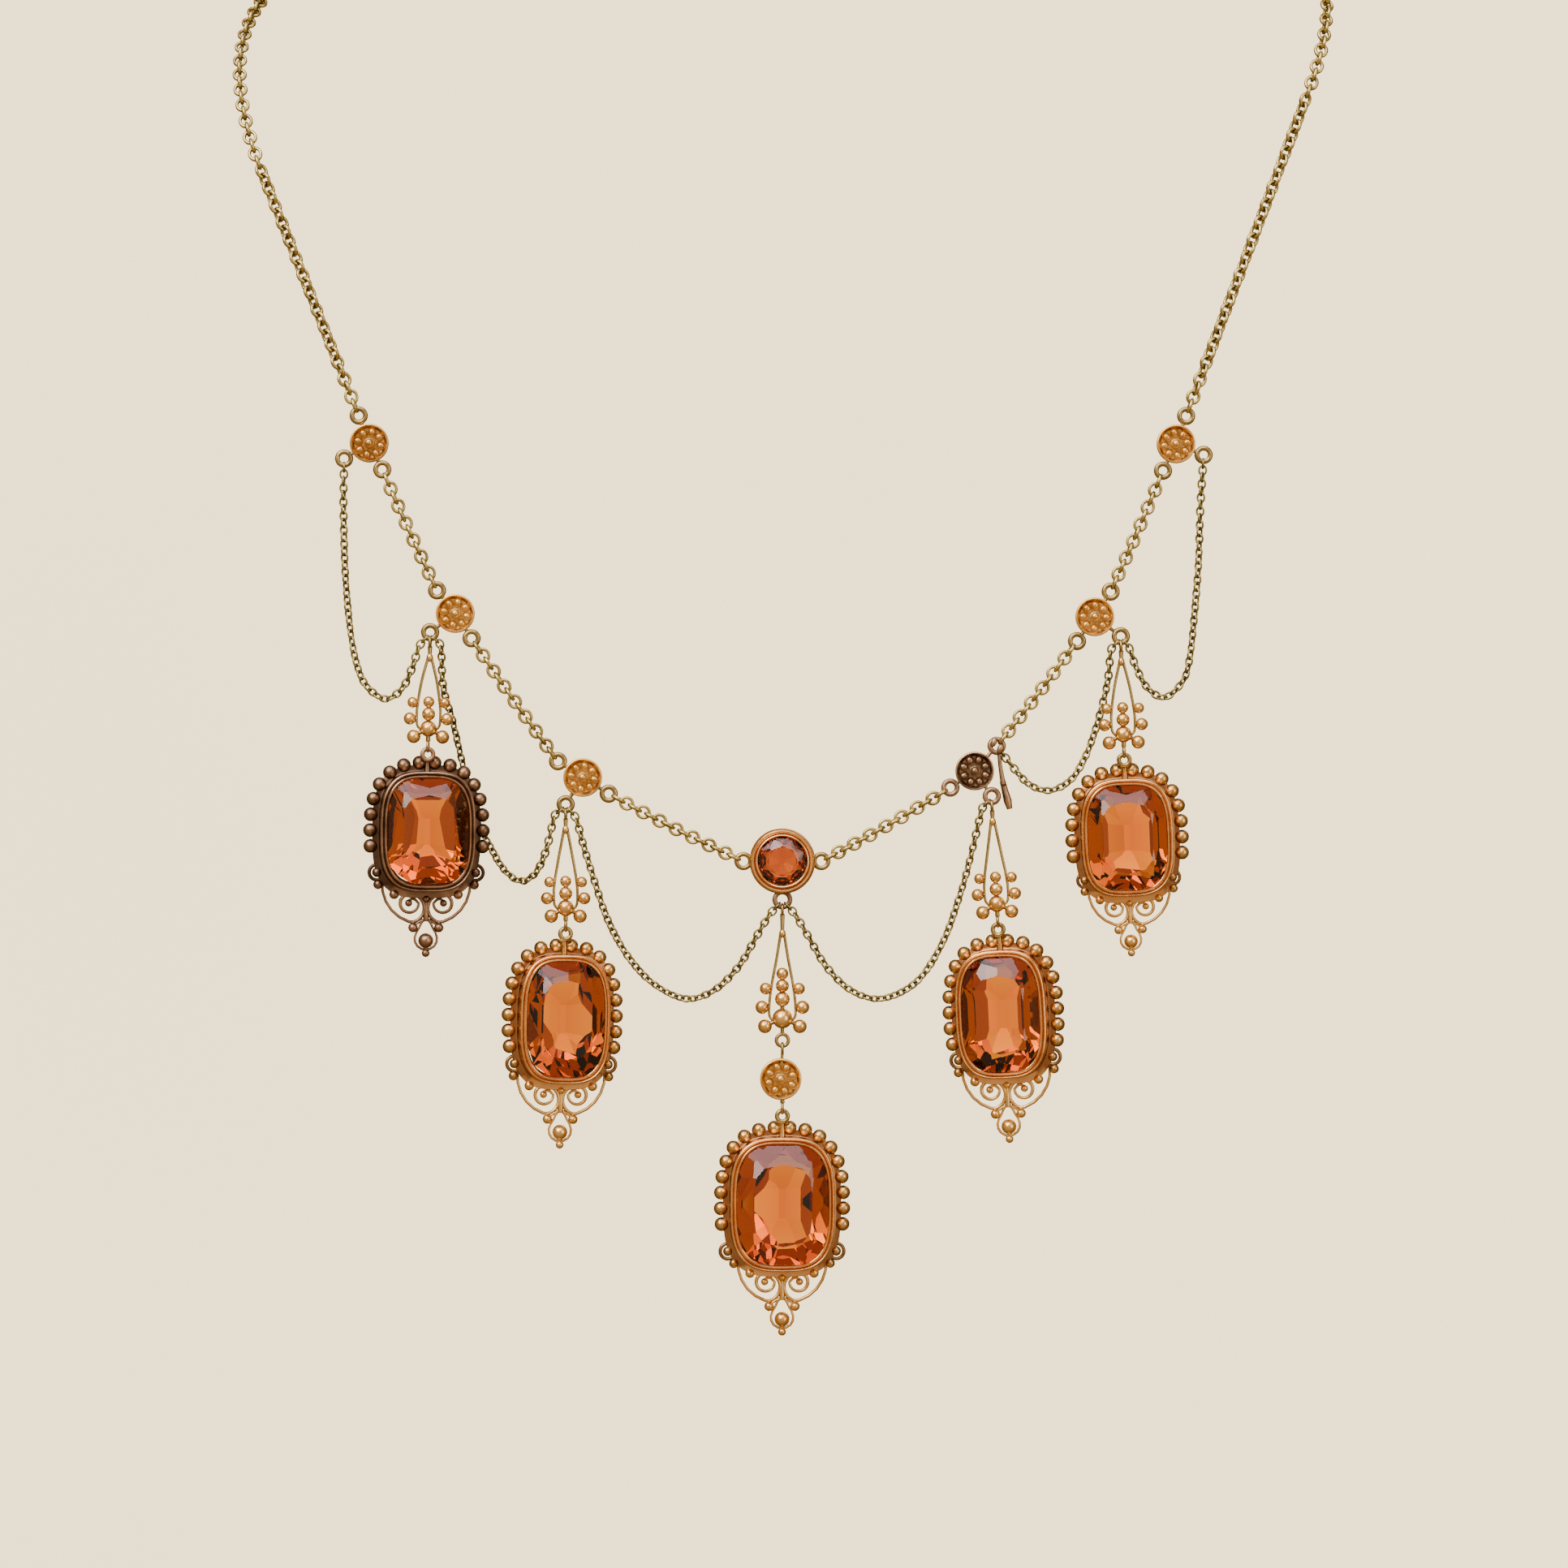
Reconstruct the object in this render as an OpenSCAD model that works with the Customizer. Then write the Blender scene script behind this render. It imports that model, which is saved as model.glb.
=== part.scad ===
// Citrine festoon necklace: a round-link chain with six flower rosettes and a round citrine,
// six fine swag chains, and five drops, each a wire spray that carries a framed cushion citrine.
// Millimetres, +X to the right as seen from the front, +Z up, the front faces -Y.
// The origin is the middle of the clasp, which lies at the nape.

/* [Loop] */
// Depth of the loop, from the nape to the plane of the front chains
loop_depth = 52; // [48:1:56]
// How far the hidden chain keeps the slope of the side chain before it turns to the nape
side_reach = 36; // [30:1:40]
// How far it runs level behind the neck on each side of the clasp
nape_reach = 40; // [34:1:44]

/* [Chains] */
// Outer diameter of a round link of the main chain
link_d = 1.8; // [1.8:0.01:1.84]
// Wire of a main link
link_wire = 0.27; // [0.24:0.01:0.28]
// Distance from link to link along the main chain
link_pitch = 1.15; // [1.1:0.01:1.15]
// Outer diameter of a link of the swag chains
swag_d = 1.2; // [1.15:0.01:1.25]
// Wire of a swag link
swag_wire = 0.24; // [0.2:0.01:0.24]
// Clearance between links
play = 0.1; // [0.08:0.01:0.12]
// Sag of a main chain between two rosettes
chain_sag = 0.2; // [0:0.05:0.4]

/* [Rosettes] */
// Diameter of a rosette
rosette_d = 4.8; // [4.6:0.1:5]
// Number of petals
petals = 8; // [6:1:10]
// Outer diameter of the rings soldered to it
ring_d = 2.3; // [2.2:0.05:2.4]
// Wire of these rings
ring_wire = 0.34; // [0.3:0.01:0.36]
// Bead at the middle of a rosette
rosette_bead = 1.3; // [1.1:0.1:1.5]

/* [Round citrine] */
// Outer diameter of its bezel
round_d = 8.1; // [8:0.1:8.3]
// Diameter of the round stone
round_stone_d = 6.3; // [6:0.1:6.4]

/* [Sprays] */
// Wire of the two blades of a spray
blade_wire = 0.26; // [0.24:0.01:0.3]
// Outer diameter of the edge-on loops
loop_d = 1.5; // [1.45:0.05:1.6]
// Wire of the edge-on loops
loop_wire = 0.28; // [0.24:0.01:0.28]

/* [Frames] */
// Bezel wall round a cushion stone
bezel_wall = 0.65; // [0.55:0.05:0.7]
// Height of the bezel, front to back
bezel_depth = 3.6; // [3.2:0.1:4]
// Beads of the border
border_bead = 1.46; // [1.3:0.02:1.5]
// Distance from bead to bead
bead_pitch = 1.95; // [1.85:0.05:2]
// Wire of the scrollwork
scroll_wire = 0.32; // [0.28:0.02:0.36]
// Outer diameter of the ring at the top of a frame
frame_ring_d = 1.86; // [1.8:0.02:1.9]
// Wire of that ring
frame_ring_wire = 0.3; // [0.28:0.01:0.32]

/* [Stones] */
// Facets round a stone in each row
stone_sides = 24; // [16:4:32]
// Gap between a stone and its bezel
stone_play = 0.06; // [0.05:0.01:0.08]
// Height of the crown over the bezel's rim
crown_height = 1.5; // [1:0.1:1.8]
// Depth of the pavilion below the girdle
pavilion_depth = 4.2; // [3.6:0.1:4.6]

/* [Clasp] */
// Length of the barrel
clasp_length = 9; // [8:0.5:10]
// Diameter of the barrel
clasp_d = 3; // [2.8:0.1:3.4]

/* [Hidden] */
$fn = 48;

GOLD = [0.83, 0.66, 0.34];
ROSE_GOLD = [0.80, 0.54, 0.33];
OLD_GOLD = [0.60, 0.52, 0.32];
DARK_GOLD = [0.38, 0.27, 0.16];
CITRINE = [0.88, 0.48, 0.10];

// Rosettes of the main chain, centre of each
X = 0;
Z = 1;
LEFT_OUTER = [-50.9, -71.1];
LEFT_MIDDLE = [-40.3, -92.1];
LEFT_INNER = [-24.6, -112.3];
CENTRE = [0, -122.6];
RIGHT_INNER = [23.7, -111.5];
RIGHT_MIDDLE = [38.5, -92.5];
RIGHT_OUTER = [48.5, -71.2];

// Rings soldered to them: the first takes the chain from above, the second the chain that goes on
// to the middle, the third a swag or a drop. Places are from the rosette's centre.
RINGS_LEFT_OUTER = [[-1.3, 3.4], [1.6, -3.25], [-3.1, -1.9]];
RINGS_LEFT_MIDDLE = [[-2.25, 2.85], [2.0, -3.05], [-3.1, -2.3]];
RINGS_LEFT_INNER = [[-3.05, 2.0], [3.2, -2.0], [-2.1, -3.3]];
RINGS_RIGHT_INNER = [[2.7, 3.1], [-3.0, -2.05], [2.1, -3.1]];
RINGS_RIGHT_MIDDLE = [[1.95, 3.1], [-2.2, -3.0], [3.2, -2.4]];
RINGS_RIGHT_OUTER = [[1.25, 3.45], [-1.6, -3.3], [3.4, -1.35]];
ROUND_RINGS = [[-4.8, 0], [4.8, 0]];
ABOVE = 0;
ONWARD = 1;
THIRD = 2;

// Slope of the side chains over the outer rosettes, and the links that the front view shows
SIDE_SLOPE_LEFT = [-0.37, 0, 0.93];
SIDE_SLOPE_RIGHT = [0.353, 0, 0.936];
SIDE_LINKS_LEFT = 28;
SIDE_LINKS_RIGHT = 36;
// Turn of the hidden chains toward the nape, as a direction from the end of the side chain
TURN_LEFT = [-0.34, 0.25, 0.906];
TURN_RIGHT = [0.34, 0.25, 0.906];

// Ways of the swags between their two rings: x, y behind the front plane, z
WAY_LEFT_OUTER = [[-54.1, 0.3, -79.0], [-53.9, 0.5, -87.0], [-53.3, 0.7, -94.0], [-52.5, 0.8, -98.3],
    [-51.3, 0.9, -101.0], [-49.0, 1.0, -102.6], [-46.9, 0.9, -101.3], [-45.6, 0.7, -98.6],
    [-44.8, 0.4, -96.2]];
WAY_LEFT_MIDDLE = [[-42.1, 0.5, -96.3], [-41.9, 1.8, -101.0], [-40.8, 3.8, -105.5], [-39.6, 5.4, -111.0],
    [-38.2, 6.0, -117.0], [-36.4, 5.6, -120.6], [-34.6, 4.6, -123.6], [-32.5, 3.4, -125.1],
    [-30.6, 2.2, -124.2], [-29.2, 1.2, -121.4], [-28.1, 0.4, -117.1]];
WAY_LEFT_INNER = [[-25.4, 0.4, -117.5], [-24.5, 1.0, -120.8], [-23.0, 1.4, -125.7], [-21.5, 1.6, -130.0],
    [-19.2, 1.6, -134.2], [-16.0, 1.6, -137.7], [-12.0, 1.5, -139.6], [-8.5, 1.4, -138.6],
    [-5.4, 1.1, -135.6], [-3.2, 0.6, -131.9], [-1.7, 0.3, -129.4]];
WAY_RIGHT_INNER = [[1.7, 0.3, -129.4], [3.2, 0.7, -131.9], [5.4, 1.2, -135.6], [8.5, 1.6, -138.6],
    [12.3, 1.8, -139.6], [16.6, 2.0, -137.5], [19.8, 2.3, -132.7], [21.9, 2.4, -127.0],
    [23.2, 1.8, -122.3], [24.6, 0.5, -116.3]];
WAY_RIGHT_MIDDLE = [[40.5, 0.4, -96.7], [40.2, 1.4, -100.2], [39.5, 2.2, -103.5], [38.5, 2.4, -107.0],
    [37.3, 2.2, -110.0], [35.6, 1.8, -112.6], [33.0, 1.4, -113.9], [30.4, 1.1, -113.1],
    [28.1, 0.5, -110.6]];
WAY_RIGHT_OUTER = [[51.5, 0.3, -79.5], [51.3, 0.5, -86.0], [50.7, 0.7, -93.5], [50.2, 0.8, -97.8],
    [49.4, 0.9, -100.4], [47.2, 1.0, -102.4], [45.0, 0.9, -101.2], [43.5, 0.6, -98.4],
    [42.9, 0.4, -96.6]];

// Sprays: lean (positive puts the foot to the right) and height of the next hinge under its own
LEAN = 0;
FOOT = 1;
SPRAY_LEFT_OUTER = [-1.2, -13.3];
SPRAY_LEFT_INNER = [0, -14.2];
SPRAY_CENTRE = [0, -17.1];
SPRAY_RIGHT_INNER = [2.9, -14.7];
SPRAY_RIGHT_OUTER = [1.7, -13.5];
DROP_ROSETTE = [0, -7.8];
// Blades of a spray: half width and height over the foot; they part under the stem
SIDE_BLADE = [[0.88, 8.5], [1.3, 6.0], [1.46, 4.2], [1.36, 2.8], [0.75, 2.1]];
CENTRE_BLADE = [[0.75, 10.6], [1.3, 7.7], [1.62, 5.1], [1.55, 3.7], [1.0, 3.1]];
SIDE_STEM = -2.2;
CENTRE_STEM = -3.2;
// Beads of a spray, pairs at either side and the column between the blades: x, height over the
// foot, diameter
BX = 0;
BZ = 1;
BD = 2;
SIDE_PAIRS = [[1.98, 5.6, 1.06], [2.3, 3.6, 1.22], [1.78, 1.4, 1.46]];
SIDE_COLUMN = [[0, 5.7, 1.15], [0, 4.2, 1.5], [0, 2.4, 1.76]];
CENTRE_PAIRS = [[2.05, 7.15, 1.24], [2.5, 4.85, 1.42], [2.15, 2.5, 1.52]];
CENTRE_COLUMN = [[0, 9.0, 1.36], [0, 7.5, 1.5], [0, 5.85, 1.7], [0, 3.45, 2.24]];
DROP_ROSETTE_X = -0.2;
ROSETTE_DROP_Z = -4;

// Frames: lean, half width and half height of the stone, height of the stone's centre under the
// hinge, turn about the upright (positive shows the left wall), beads on each side, and size of
// the scrollwork
HALF_W = 1;
HALF_H = 2;
DROP = 3;
TURN = 4;
BEADS = 5;
SCROLLS = 6;
FRAME_LEFT_OUTER = [-0.4, 5.2, 6.75, 10.3, 8, 8, 1];
FRAME_LEFT_INNER = [-1.2, 4.95, 7.3, 11.3, 11, 9, 1];
FRAME_CENTRE = [0, 5.8, 7.6, 11.6, 2, 9, 1];
FRAME_RIGHT_INNER = [2.8, 4.95, 7.25, 11.2, -9, 9, 1];
FRAME_RIGHT_OUTER = [2.2, 5, 6.6, 10.35, -2, 8, 0.92];

CUSHION = 3.1;
BORDER_SHAPE = 2.6;
OUTLINE_POINTS = 48;
RIM_Y = -2.2;
GIRDLE_Y = -1.95;
PLATE_Y = 0.5;
PLATE = 0.5;
BORDER_OUT = 1.12;
FRAME_SHIFT = 0.45;
SOLDER = 0.06;

swag_way_rings = 12;
back_way_rings = 16;
back_tube_d = 1.5;
swag_tube_d = 1;
tube_sides = 8;

// Points and directions
function unit(v) = v / norm(v);
function front(p, behind = 0) = [p[X], -loop_depth + behind, p[Z]];
function ring_at(rosette, rings, which) = front(rosette + rings[which]);
function hang(outer, wire, next_d, next_wire) = (outer - wire) / 2 - wire / 2 - play - next_wire
    + next_d / 2;
function superellipse(a, b, shape, angle) = [
    a * sign(cos(angle)) * pow(abs(cos(angle)), 2 / shape),
    b * sign(sin(angle)) * pow(abs(sin(angle)), 2 / shape)];
function outline(a, b, shape, count) = [for (i = [0 : count - 1]) superellipse(a, b, shape, 360 * i / count)];

// A smooth way through points, its lengths, and points at given lengths
function smooth(p, steps) = [for (i = [0 : len(p) - 2]) for (j = [0 : steps - 1])
    let (a = p[max(i - 1, 0)], b = p[i], c = p[i + 1], d = p[min(i + 2, len(p) - 1)], t = j / steps)
    (2 * b + (c - a) * t + (2 * a - 5 * b + 4 * c - d) * t * t + (3 * b - a - 3 * c + d) * t * t * t) / 2,
    p[len(p) - 1]];
function bezier(a, b, c, d, steps) = [for (i = [0 : steps]) let (t = i / steps, u = 1 - t)
    u * u * u * a + 3 * u * u * t * b + 3 * u * t * t * c + t * t * t * d];
function lengths(p) = [for (i = 0, s = 0; i < len(p);
    s = s + (i + 1 < len(p) ? norm(p[i + 1] - p[i]) : 0), i = i + 1) s];
function at_length(p, s, l) = [for (axis = [0 : len(p[0]) - 1])
    lookup(l, [for (i = [0 : len(p) - 1]) [s[i], p[i][axis]]])];
function even(p, count) = let (s = lengths(p), whole = s[len(s) - 1])
    [for (i = [0 : count - 1]) at_length(p, s, whole * i / (count - 1))];
function tangents(p) = [for (i = [0 : len(p) - 1]) unit(p[min(i + 1, len(p) - 1)] - p[max(i - 1, 0)])];
function carried(t, first) = [for (i = 0, n = unit(first - (first * t[0]) * t[0]); i < len(t);
    n = i + 1 < len(t) ? unit(n - (n * t[i + 1]) * t[i + 1]) : n, i = i + 1) n];

// Wire work
module place(p, axis) {
    translate(p) rotate([0, acos(axis.z / norm(axis)), atan2(axis.y, axis.x)]) children();
}
module ring(p, axis, outer, wire) {
    place(p, axis) rotate_extrude() translate([(outer - wire) / 2, 0]) circle(d = wire);
}
module arc(p, outer_r, from, sweep, wire) {
    translate(p) rotate([90, 0, 0]) rotate([0, 0, from]) rotate_extrude(angle = sweep)
        translate([outer_r, 0]) circle(d = wire);
}
module rod(p, q, d) {
    place(p, q - p) cylinder(d = d, h = norm(q - p));
}
// A bead's seam is at its back, where no wire meets it
module bead(p, d) {
    translate(p) rotate([0, 0, 90]) sphere(d = d);
}
module wire_line(points, d) {
    for (i = [0 : len(points) - 2]) rod(points[i], points[i + 1], d);
    for (i = [1 : len(points) - 1]) bead(points[i], d + SOLDER);
}
module tube(p, d, first) {
    t = tangents(p);
    n = carried(t, first);
    points = [for (i = [0 : len(p) - 1]) for (k = [0 : tube_sides - 1])
        p[i] + d / 2 * (cos(360 * k / tube_sides) * n[i] + sin(360 * k / tube_sides) * cross(t[i], n[i]))];
    last = (len(p) - 1) * tube_sides;
    faces = concat(
        [[for (k = [0 : tube_sides - 1]) k]],
        [for (i = [0 : len(p) - 2]) for (k = [0 : tube_sides - 1]) let (a = i * tube_sides + k,
            b = i * tube_sides + (k + 1) % tube_sides) [b, a, a + tube_sides, b + tube_sides]],
        [[for (k = [tube_sides - 1 : -1 : 0]) last + k]]);
    polyhedron(points, faces, convexity = 8);
}

// Main chain: round links, edge on and face on in turn, from one ring to the next
function chain_hang() = hang(ring_d, ring_wire, link_d, link_wire);
function chain_count(span) = 2 * round((span - 2 * chain_hang()) / link_pitch / 2) + 1;
module links(points, d, wire) {
    t = tangents(points);
    for (i = [0 : len(points) - 1])
        ring(points[i], i % 2 == 0 ? cross(t[i], [0, 1, 0]) : [0, 1, 0], d, wire);
}
module chain(a, b) {
    span = norm(b - a);
    count = chain_count(span);
    hang_part = chain_hang() / span;
    links([for (i = [0 : count - 1]) let (t = hang_part + (1 - 2 * hang_part) * i / (count - 1))
        a + (b - a) * t - [0, 0, 4 * chain_sag * t * (1 - t)]], link_d, link_wire);
}
module side_chain(a, slope, count) {
    links([for (i = [0 : count - 1]) a + unit(slope) * (chain_hang() + i * link_pitch)], link_d, link_wire);
}
function side_end(a, slope, count) = a + unit(slope) * (chain_hang() + (count - 1) * link_pitch
    + link_d / 2 + play);

// Hidden chain from the end of a side chain round to the clasp, with the link that the clasp holds
clasp_ring_x = (clasp_length + ring_d) / 2 - ring_wire;
module back_chain(start, turn, side) {
    clasp_link = [side * (clasp_ring_x + chain_hang()), 0, 0];
    finish = clasp_link + [side * (link_d / 2 + play), 0, 0];
    way = bezier(start, start + side_reach * turn, finish + [side * nape_reach, 0, 0], finish, 60);
    tube(even(way, back_way_rings), back_tube_d, [side, 1, 0]);
    ring(clasp_link, [0, 0, 1], link_d, link_wire);
}

// Swag: a fine chain that hangs from ring to ring, with the link at each end in its ring
function swag_hang(wire) = hang(ring_d, wire, swag_d, swag_wire);
module swag(a, way, b) {
    middle = [for (p = way) p - [0, loop_depth, 0]];
    toward_a = unit(middle[0] - a);
    toward_b = unit(middle[len(middle) - 1] - b);
    held = swag_hang(ring_wire);
    lead = held + swag_d / 2 + play;
    whole = smooth(concat([a + lead * toward_a], middle, [b + lead * toward_b]), 6);
    tube(even(whole, swag_way_rings), swag_tube_d, [0, 1, 0]);
    ring(a + held * toward_a, cross(toward_a, [0, 1, 0]), swag_d, swag_wire);
    ring(b + held * toward_b, cross(toward_b, [0, 1, 0]), swag_d, swag_wire);
}

// Rosette: a dished disc with a rim, petals and a middle bead; wires end this deep in its rim
JOIN = 0.4;
module flower() {
    r = rosette_d / 2;
    rotate([90, 0, 0]) {
        rotate_extrude() polygon([[0, -0.45], [r - 0.3, -0.4], [r, -0.25], [r, 0.35], [r - 0.2, 0.45],
            [r - 0.6, 0.1], [0, -0.05]]);
        for (i = [0 : petals - 1]) rotate([0, 0, 360 * (i + 0.5) / petals]) translate([r * 0.58, 0, 0.15])
            sphere(d = 1);
        translate([0, 0, 0.1]) cylinder(d = rosette_bead * 1.15, h = 0.4, center = true);
        translate([0, 0, 0.45]) sphere(d = rosette_bead);
    }
}
module soldered_ring(p) {
    toward = unit([p[X], 0, p[Z]]);
    ring([p[X], 0, p[Z]], [0, 1, 0], ring_d, ring_wire);
    rod(toward * (rosette_d / 2 - JOIN), toward * (norm(p) - (ring_d - ring_wire) / 2), ring_wire * 0.75);
}
module rosette(centre, rings) {
    translate(front(centre)) {
        flower();
        for (p = rings) soldered_ring(p);
    }
}
// The right inner rosette has a dark tab on its upper ring, that comes down behind the drop's ring
TAB = [[2.95, 0, 2.15], [3.5, 0.75, -1.6], [4.3, 0.75, -4.5]];
module tab() {
    translate(front(RIGHT_INNER)) {
        rod(TAB[0], TAB[1], ring_wire * 0.75);
        rod(TAB[1], TAB[2], 0.5);
        bead(TAB[1], 0.62);
        bead(TAB[2], 0.8);
    }
}

// Round citrine of the middle: bezel with two rings and a staple, and its stone
STAPLE_D = 2.35;
STAPLE_Z = -4.75;
module round_bezel() {
    outer = round_d / 2;
    inner = round_stone_d / 2 + stone_play;
    color(ROSE_GOLD) translate(front(CENTRE)) {
        rotate([90, 0, 0]) rotate_extrude() polygon([[inner - 0.35, -1.3], [outer - 0.1, -1.3],
            [outer, -1.1], [outer, 0.5], [outer - 0.25, 0.8], [outer - 0.4, 1.3], [inner + 0.05, 1.3],
            [inner, 1.15], [inner, 0.5], [inner - 0.35, 0]]);
        for (p = ROUND_RINGS) ring([p[X], 0, 0], [0, 1, 0], 2.1, 0.32);
        ring([0, 0, STAPLE_Z], [0, 1, 0], STAPLE_D, ring_wire);
    }
}
module round_citrine() {
    r = round_stone_d / 2;
    color(CITRINE) translate(front(CENTRE)) rotate([90, 0, 0])
        stone(r, r, 2, [[0.62, 1.75], [0.84, 1.45], [1, 0.95], [1, 0.75], [0.62, -0.9], [0.12, -1.8]]);
}

// Cut stone: rows of facets, each row a scale of the outline and a height
module stone(a, b, shape, rows) {
    count = stone_sides;
    points = [for (row = [0 : len(rows) - 1]) for (i = [0 : count - 1])
        let (turned = rows[row][0] == 1 ? 0 : row % 2 == 0 ? 0 : 180 / count,
            p = superellipse(a * rows[row][0], b * rows[row][0], shape, 360 * i / count + turned))
        [p[0], p[1], rows[row][1]]];
    last = (len(rows) - 1) * count;
    faces = concat(
        [[for (i = [0 : count - 1]) i]],
        [for (row = [0 : len(rows) - 2]) for (i = [0 : count - 1]) let (a = row * count, c = a + count,
            j = (i + 1) % count, lead = turned_row(rows, row + 1) >= turned_row(rows, row))
            each lead ? [[a + i, c + i, a + j], [a + j, c + i, c + j]]
                : [[a + i, c + j, a + j], [a + i, c + i, c + j]]],
        [[for (i = [count - 1 : -1 : 0]) last + i]]);
    polyhedron(points, [for (f = faces) [for (k = [len(f) - 1 : -1 : 0]) f[k]]], convexity = 4);
}
function turned_row(rows, row) = rows[row][0] == 1 ? 0 : row % 2;

// Spray: two blades from an edge-on loop, beads outside them and a column of beads between
module upright_loop(p) {
    ring(p, [1, 0, 0], loop_d, loop_wire);
}
module spray(part, blade, stem, pairs, column) {
    foot = part[FOOT];
    low = [0, 0, foot + column[len(column) - 1][BZ]];
    upright_loop([0, 0, hook_height()]);
    rod([0, 0, hook_height() - loop_d / 2 + loop_wire / 2], [0, 0, stem], blade_wire * 1.6);
    bead([0, 0, stem], blade_wire * 2.3);
    blade_way = [for (p = blade) [p[Z], p[X]]];
    for (side = [-1, 1]) {
        wire_line(concat([[side * blade_wire * 0.6, 0, stem]],
            [for (p = blade) [side * p[X], 0, foot + p[Z]]]), blade_wire);
        for (p = pairs) bead([side * p[BX], 0, foot + p[BZ]], p[BD]);
        for (i = [0 : len(pairs) - 2])
            rod([side * pairs[i][BX], 0, foot + pairs[i][BZ]],
                [side * lookup(pairs[i][BZ], blade_way), 0, foot + pairs[i][BZ]], blade_wire * 0.75);
        rod(low, [side * pairs[len(pairs) - 1][BX], 0, foot + pairs[len(pairs) - 1][BZ]], blade_wire * 1.4);
    }
    for (p = column) bead([0, 0, foot + p[BZ]], p[BD]);
    rod([0, 0, foot + column[0][BZ]], low, blade_wire * 1.5);
}
// An edge-on loop hangs on a ring's lowest wire, or holds a frame ring's highest wire
function hook_height() = ring_wire / 2 + play + loop_wire - loop_d / 2;
function eye_height() = -frame_ring_wire / 2 - play - loop_wire + loop_d / 2;
module spray_foot(from, to) {
    rod([0, 0, from], [0, 0, to + eye_height() + loop_d / 2 - loop_wire / 2], blade_wire * 1.6);
    upright_loop([0, 0, to + eye_height()]);
}
module side_spray(part) {
    spray(part, SIDE_BLADE, SIDE_STEM, SIDE_PAIRS, SIDE_COLUMN);
    spray_foot(part[FOOT] + SIDE_COLUMN[2][BZ], part[FOOT]);
}
CENTRE_RING_D = 1.9;
module centre_spray() {
    foot = SPRAY_CENTRE[FOOT];
    ring_z = foot + (CENTRE_RING_D - ring_wire) / 2;
    spray(SPRAY_CENTRE, CENTRE_BLADE, CENTRE_STEM, CENTRE_PAIRS, CENTRE_COLUMN);
    rod([0, 0, foot + CENTRE_COLUMN[3][BZ]], [0, 0, ring_z + CENTRE_RING_D / 2 - ring_wire / 2],
        blade_wire * 1.8);
    ring([0, 0, ring_z], [0, 1, 0], CENTRE_RING_D, ring_wire);
}
module drop_rosette() {
    upright_loop([0, 0, hook_height()]);
    rod([0, 0, hook_height() - loop_d / 2 + loop_wire / 2],
        [DROP_ROSETTE_X / 2, 0, ROSETTE_DROP_Z + rosette_d / 2 - JOIN], blade_wire * 1.6);
    translate([DROP_ROSETTE_X, 0, ROSETTE_DROP_Z]) flower();
    spray_foot(ROSETTE_DROP_Z - rosette_d / 2 + JOIN, DROP_ROSETTE[FOOT]);
}

// Frame: ring, bezel, back plate with a border of beads, and scrollwork below
function border_points(f) = let (
    a = f[HALF_W] + bezel_wall + BORDER_OUT, b = f[HALF_H] + bezel_wall + BORDER_OUT,
    way = [for (i = [0 : 60]) superellipse(a, b, BORDER_SHAPE, 90 - 1.5 * i)],
    low = [for (i = [1 : 30]) superellipse(a, b, BORDER_SHAPE, -1.5 * i)],
    p = concat(way, low), s = lengths(p))
    [for (i = [0 : f[BEADS] - 1]) at_length(p, s, bead_pitch * (i + 0.48))];
module bezel_outline(f, grow, height) {
    linear_extrude(height) polygon(outline(f[HALF_W] + grow, f[HALF_H] + grow, CUSHION, OUTLINE_POINTS));
}
module bezel(f) {
    seat = 0.45;
    rotate([90, 0, 0]) difference() {
        union() {
            translate([0, 0, -RIM_Y - bezel_depth]) bezel_outline(f, bezel_wall, bezel_depth);
            translate([0, 0, -PLATE_Y - PLATE]) bezel_outline(f, bezel_wall + BORDER_OUT * 0.75, PLATE);
        }
        translate([0, 0, -RIM_Y - bezel_depth - 1]) bezel_outline(f, stone_play - seat, bezel_depth + 2);
        translate([0, 0, -GIRDLE_Y - 1.3]) bezel_outline(f, stone_play, bezel_depth);
    }
}
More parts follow.
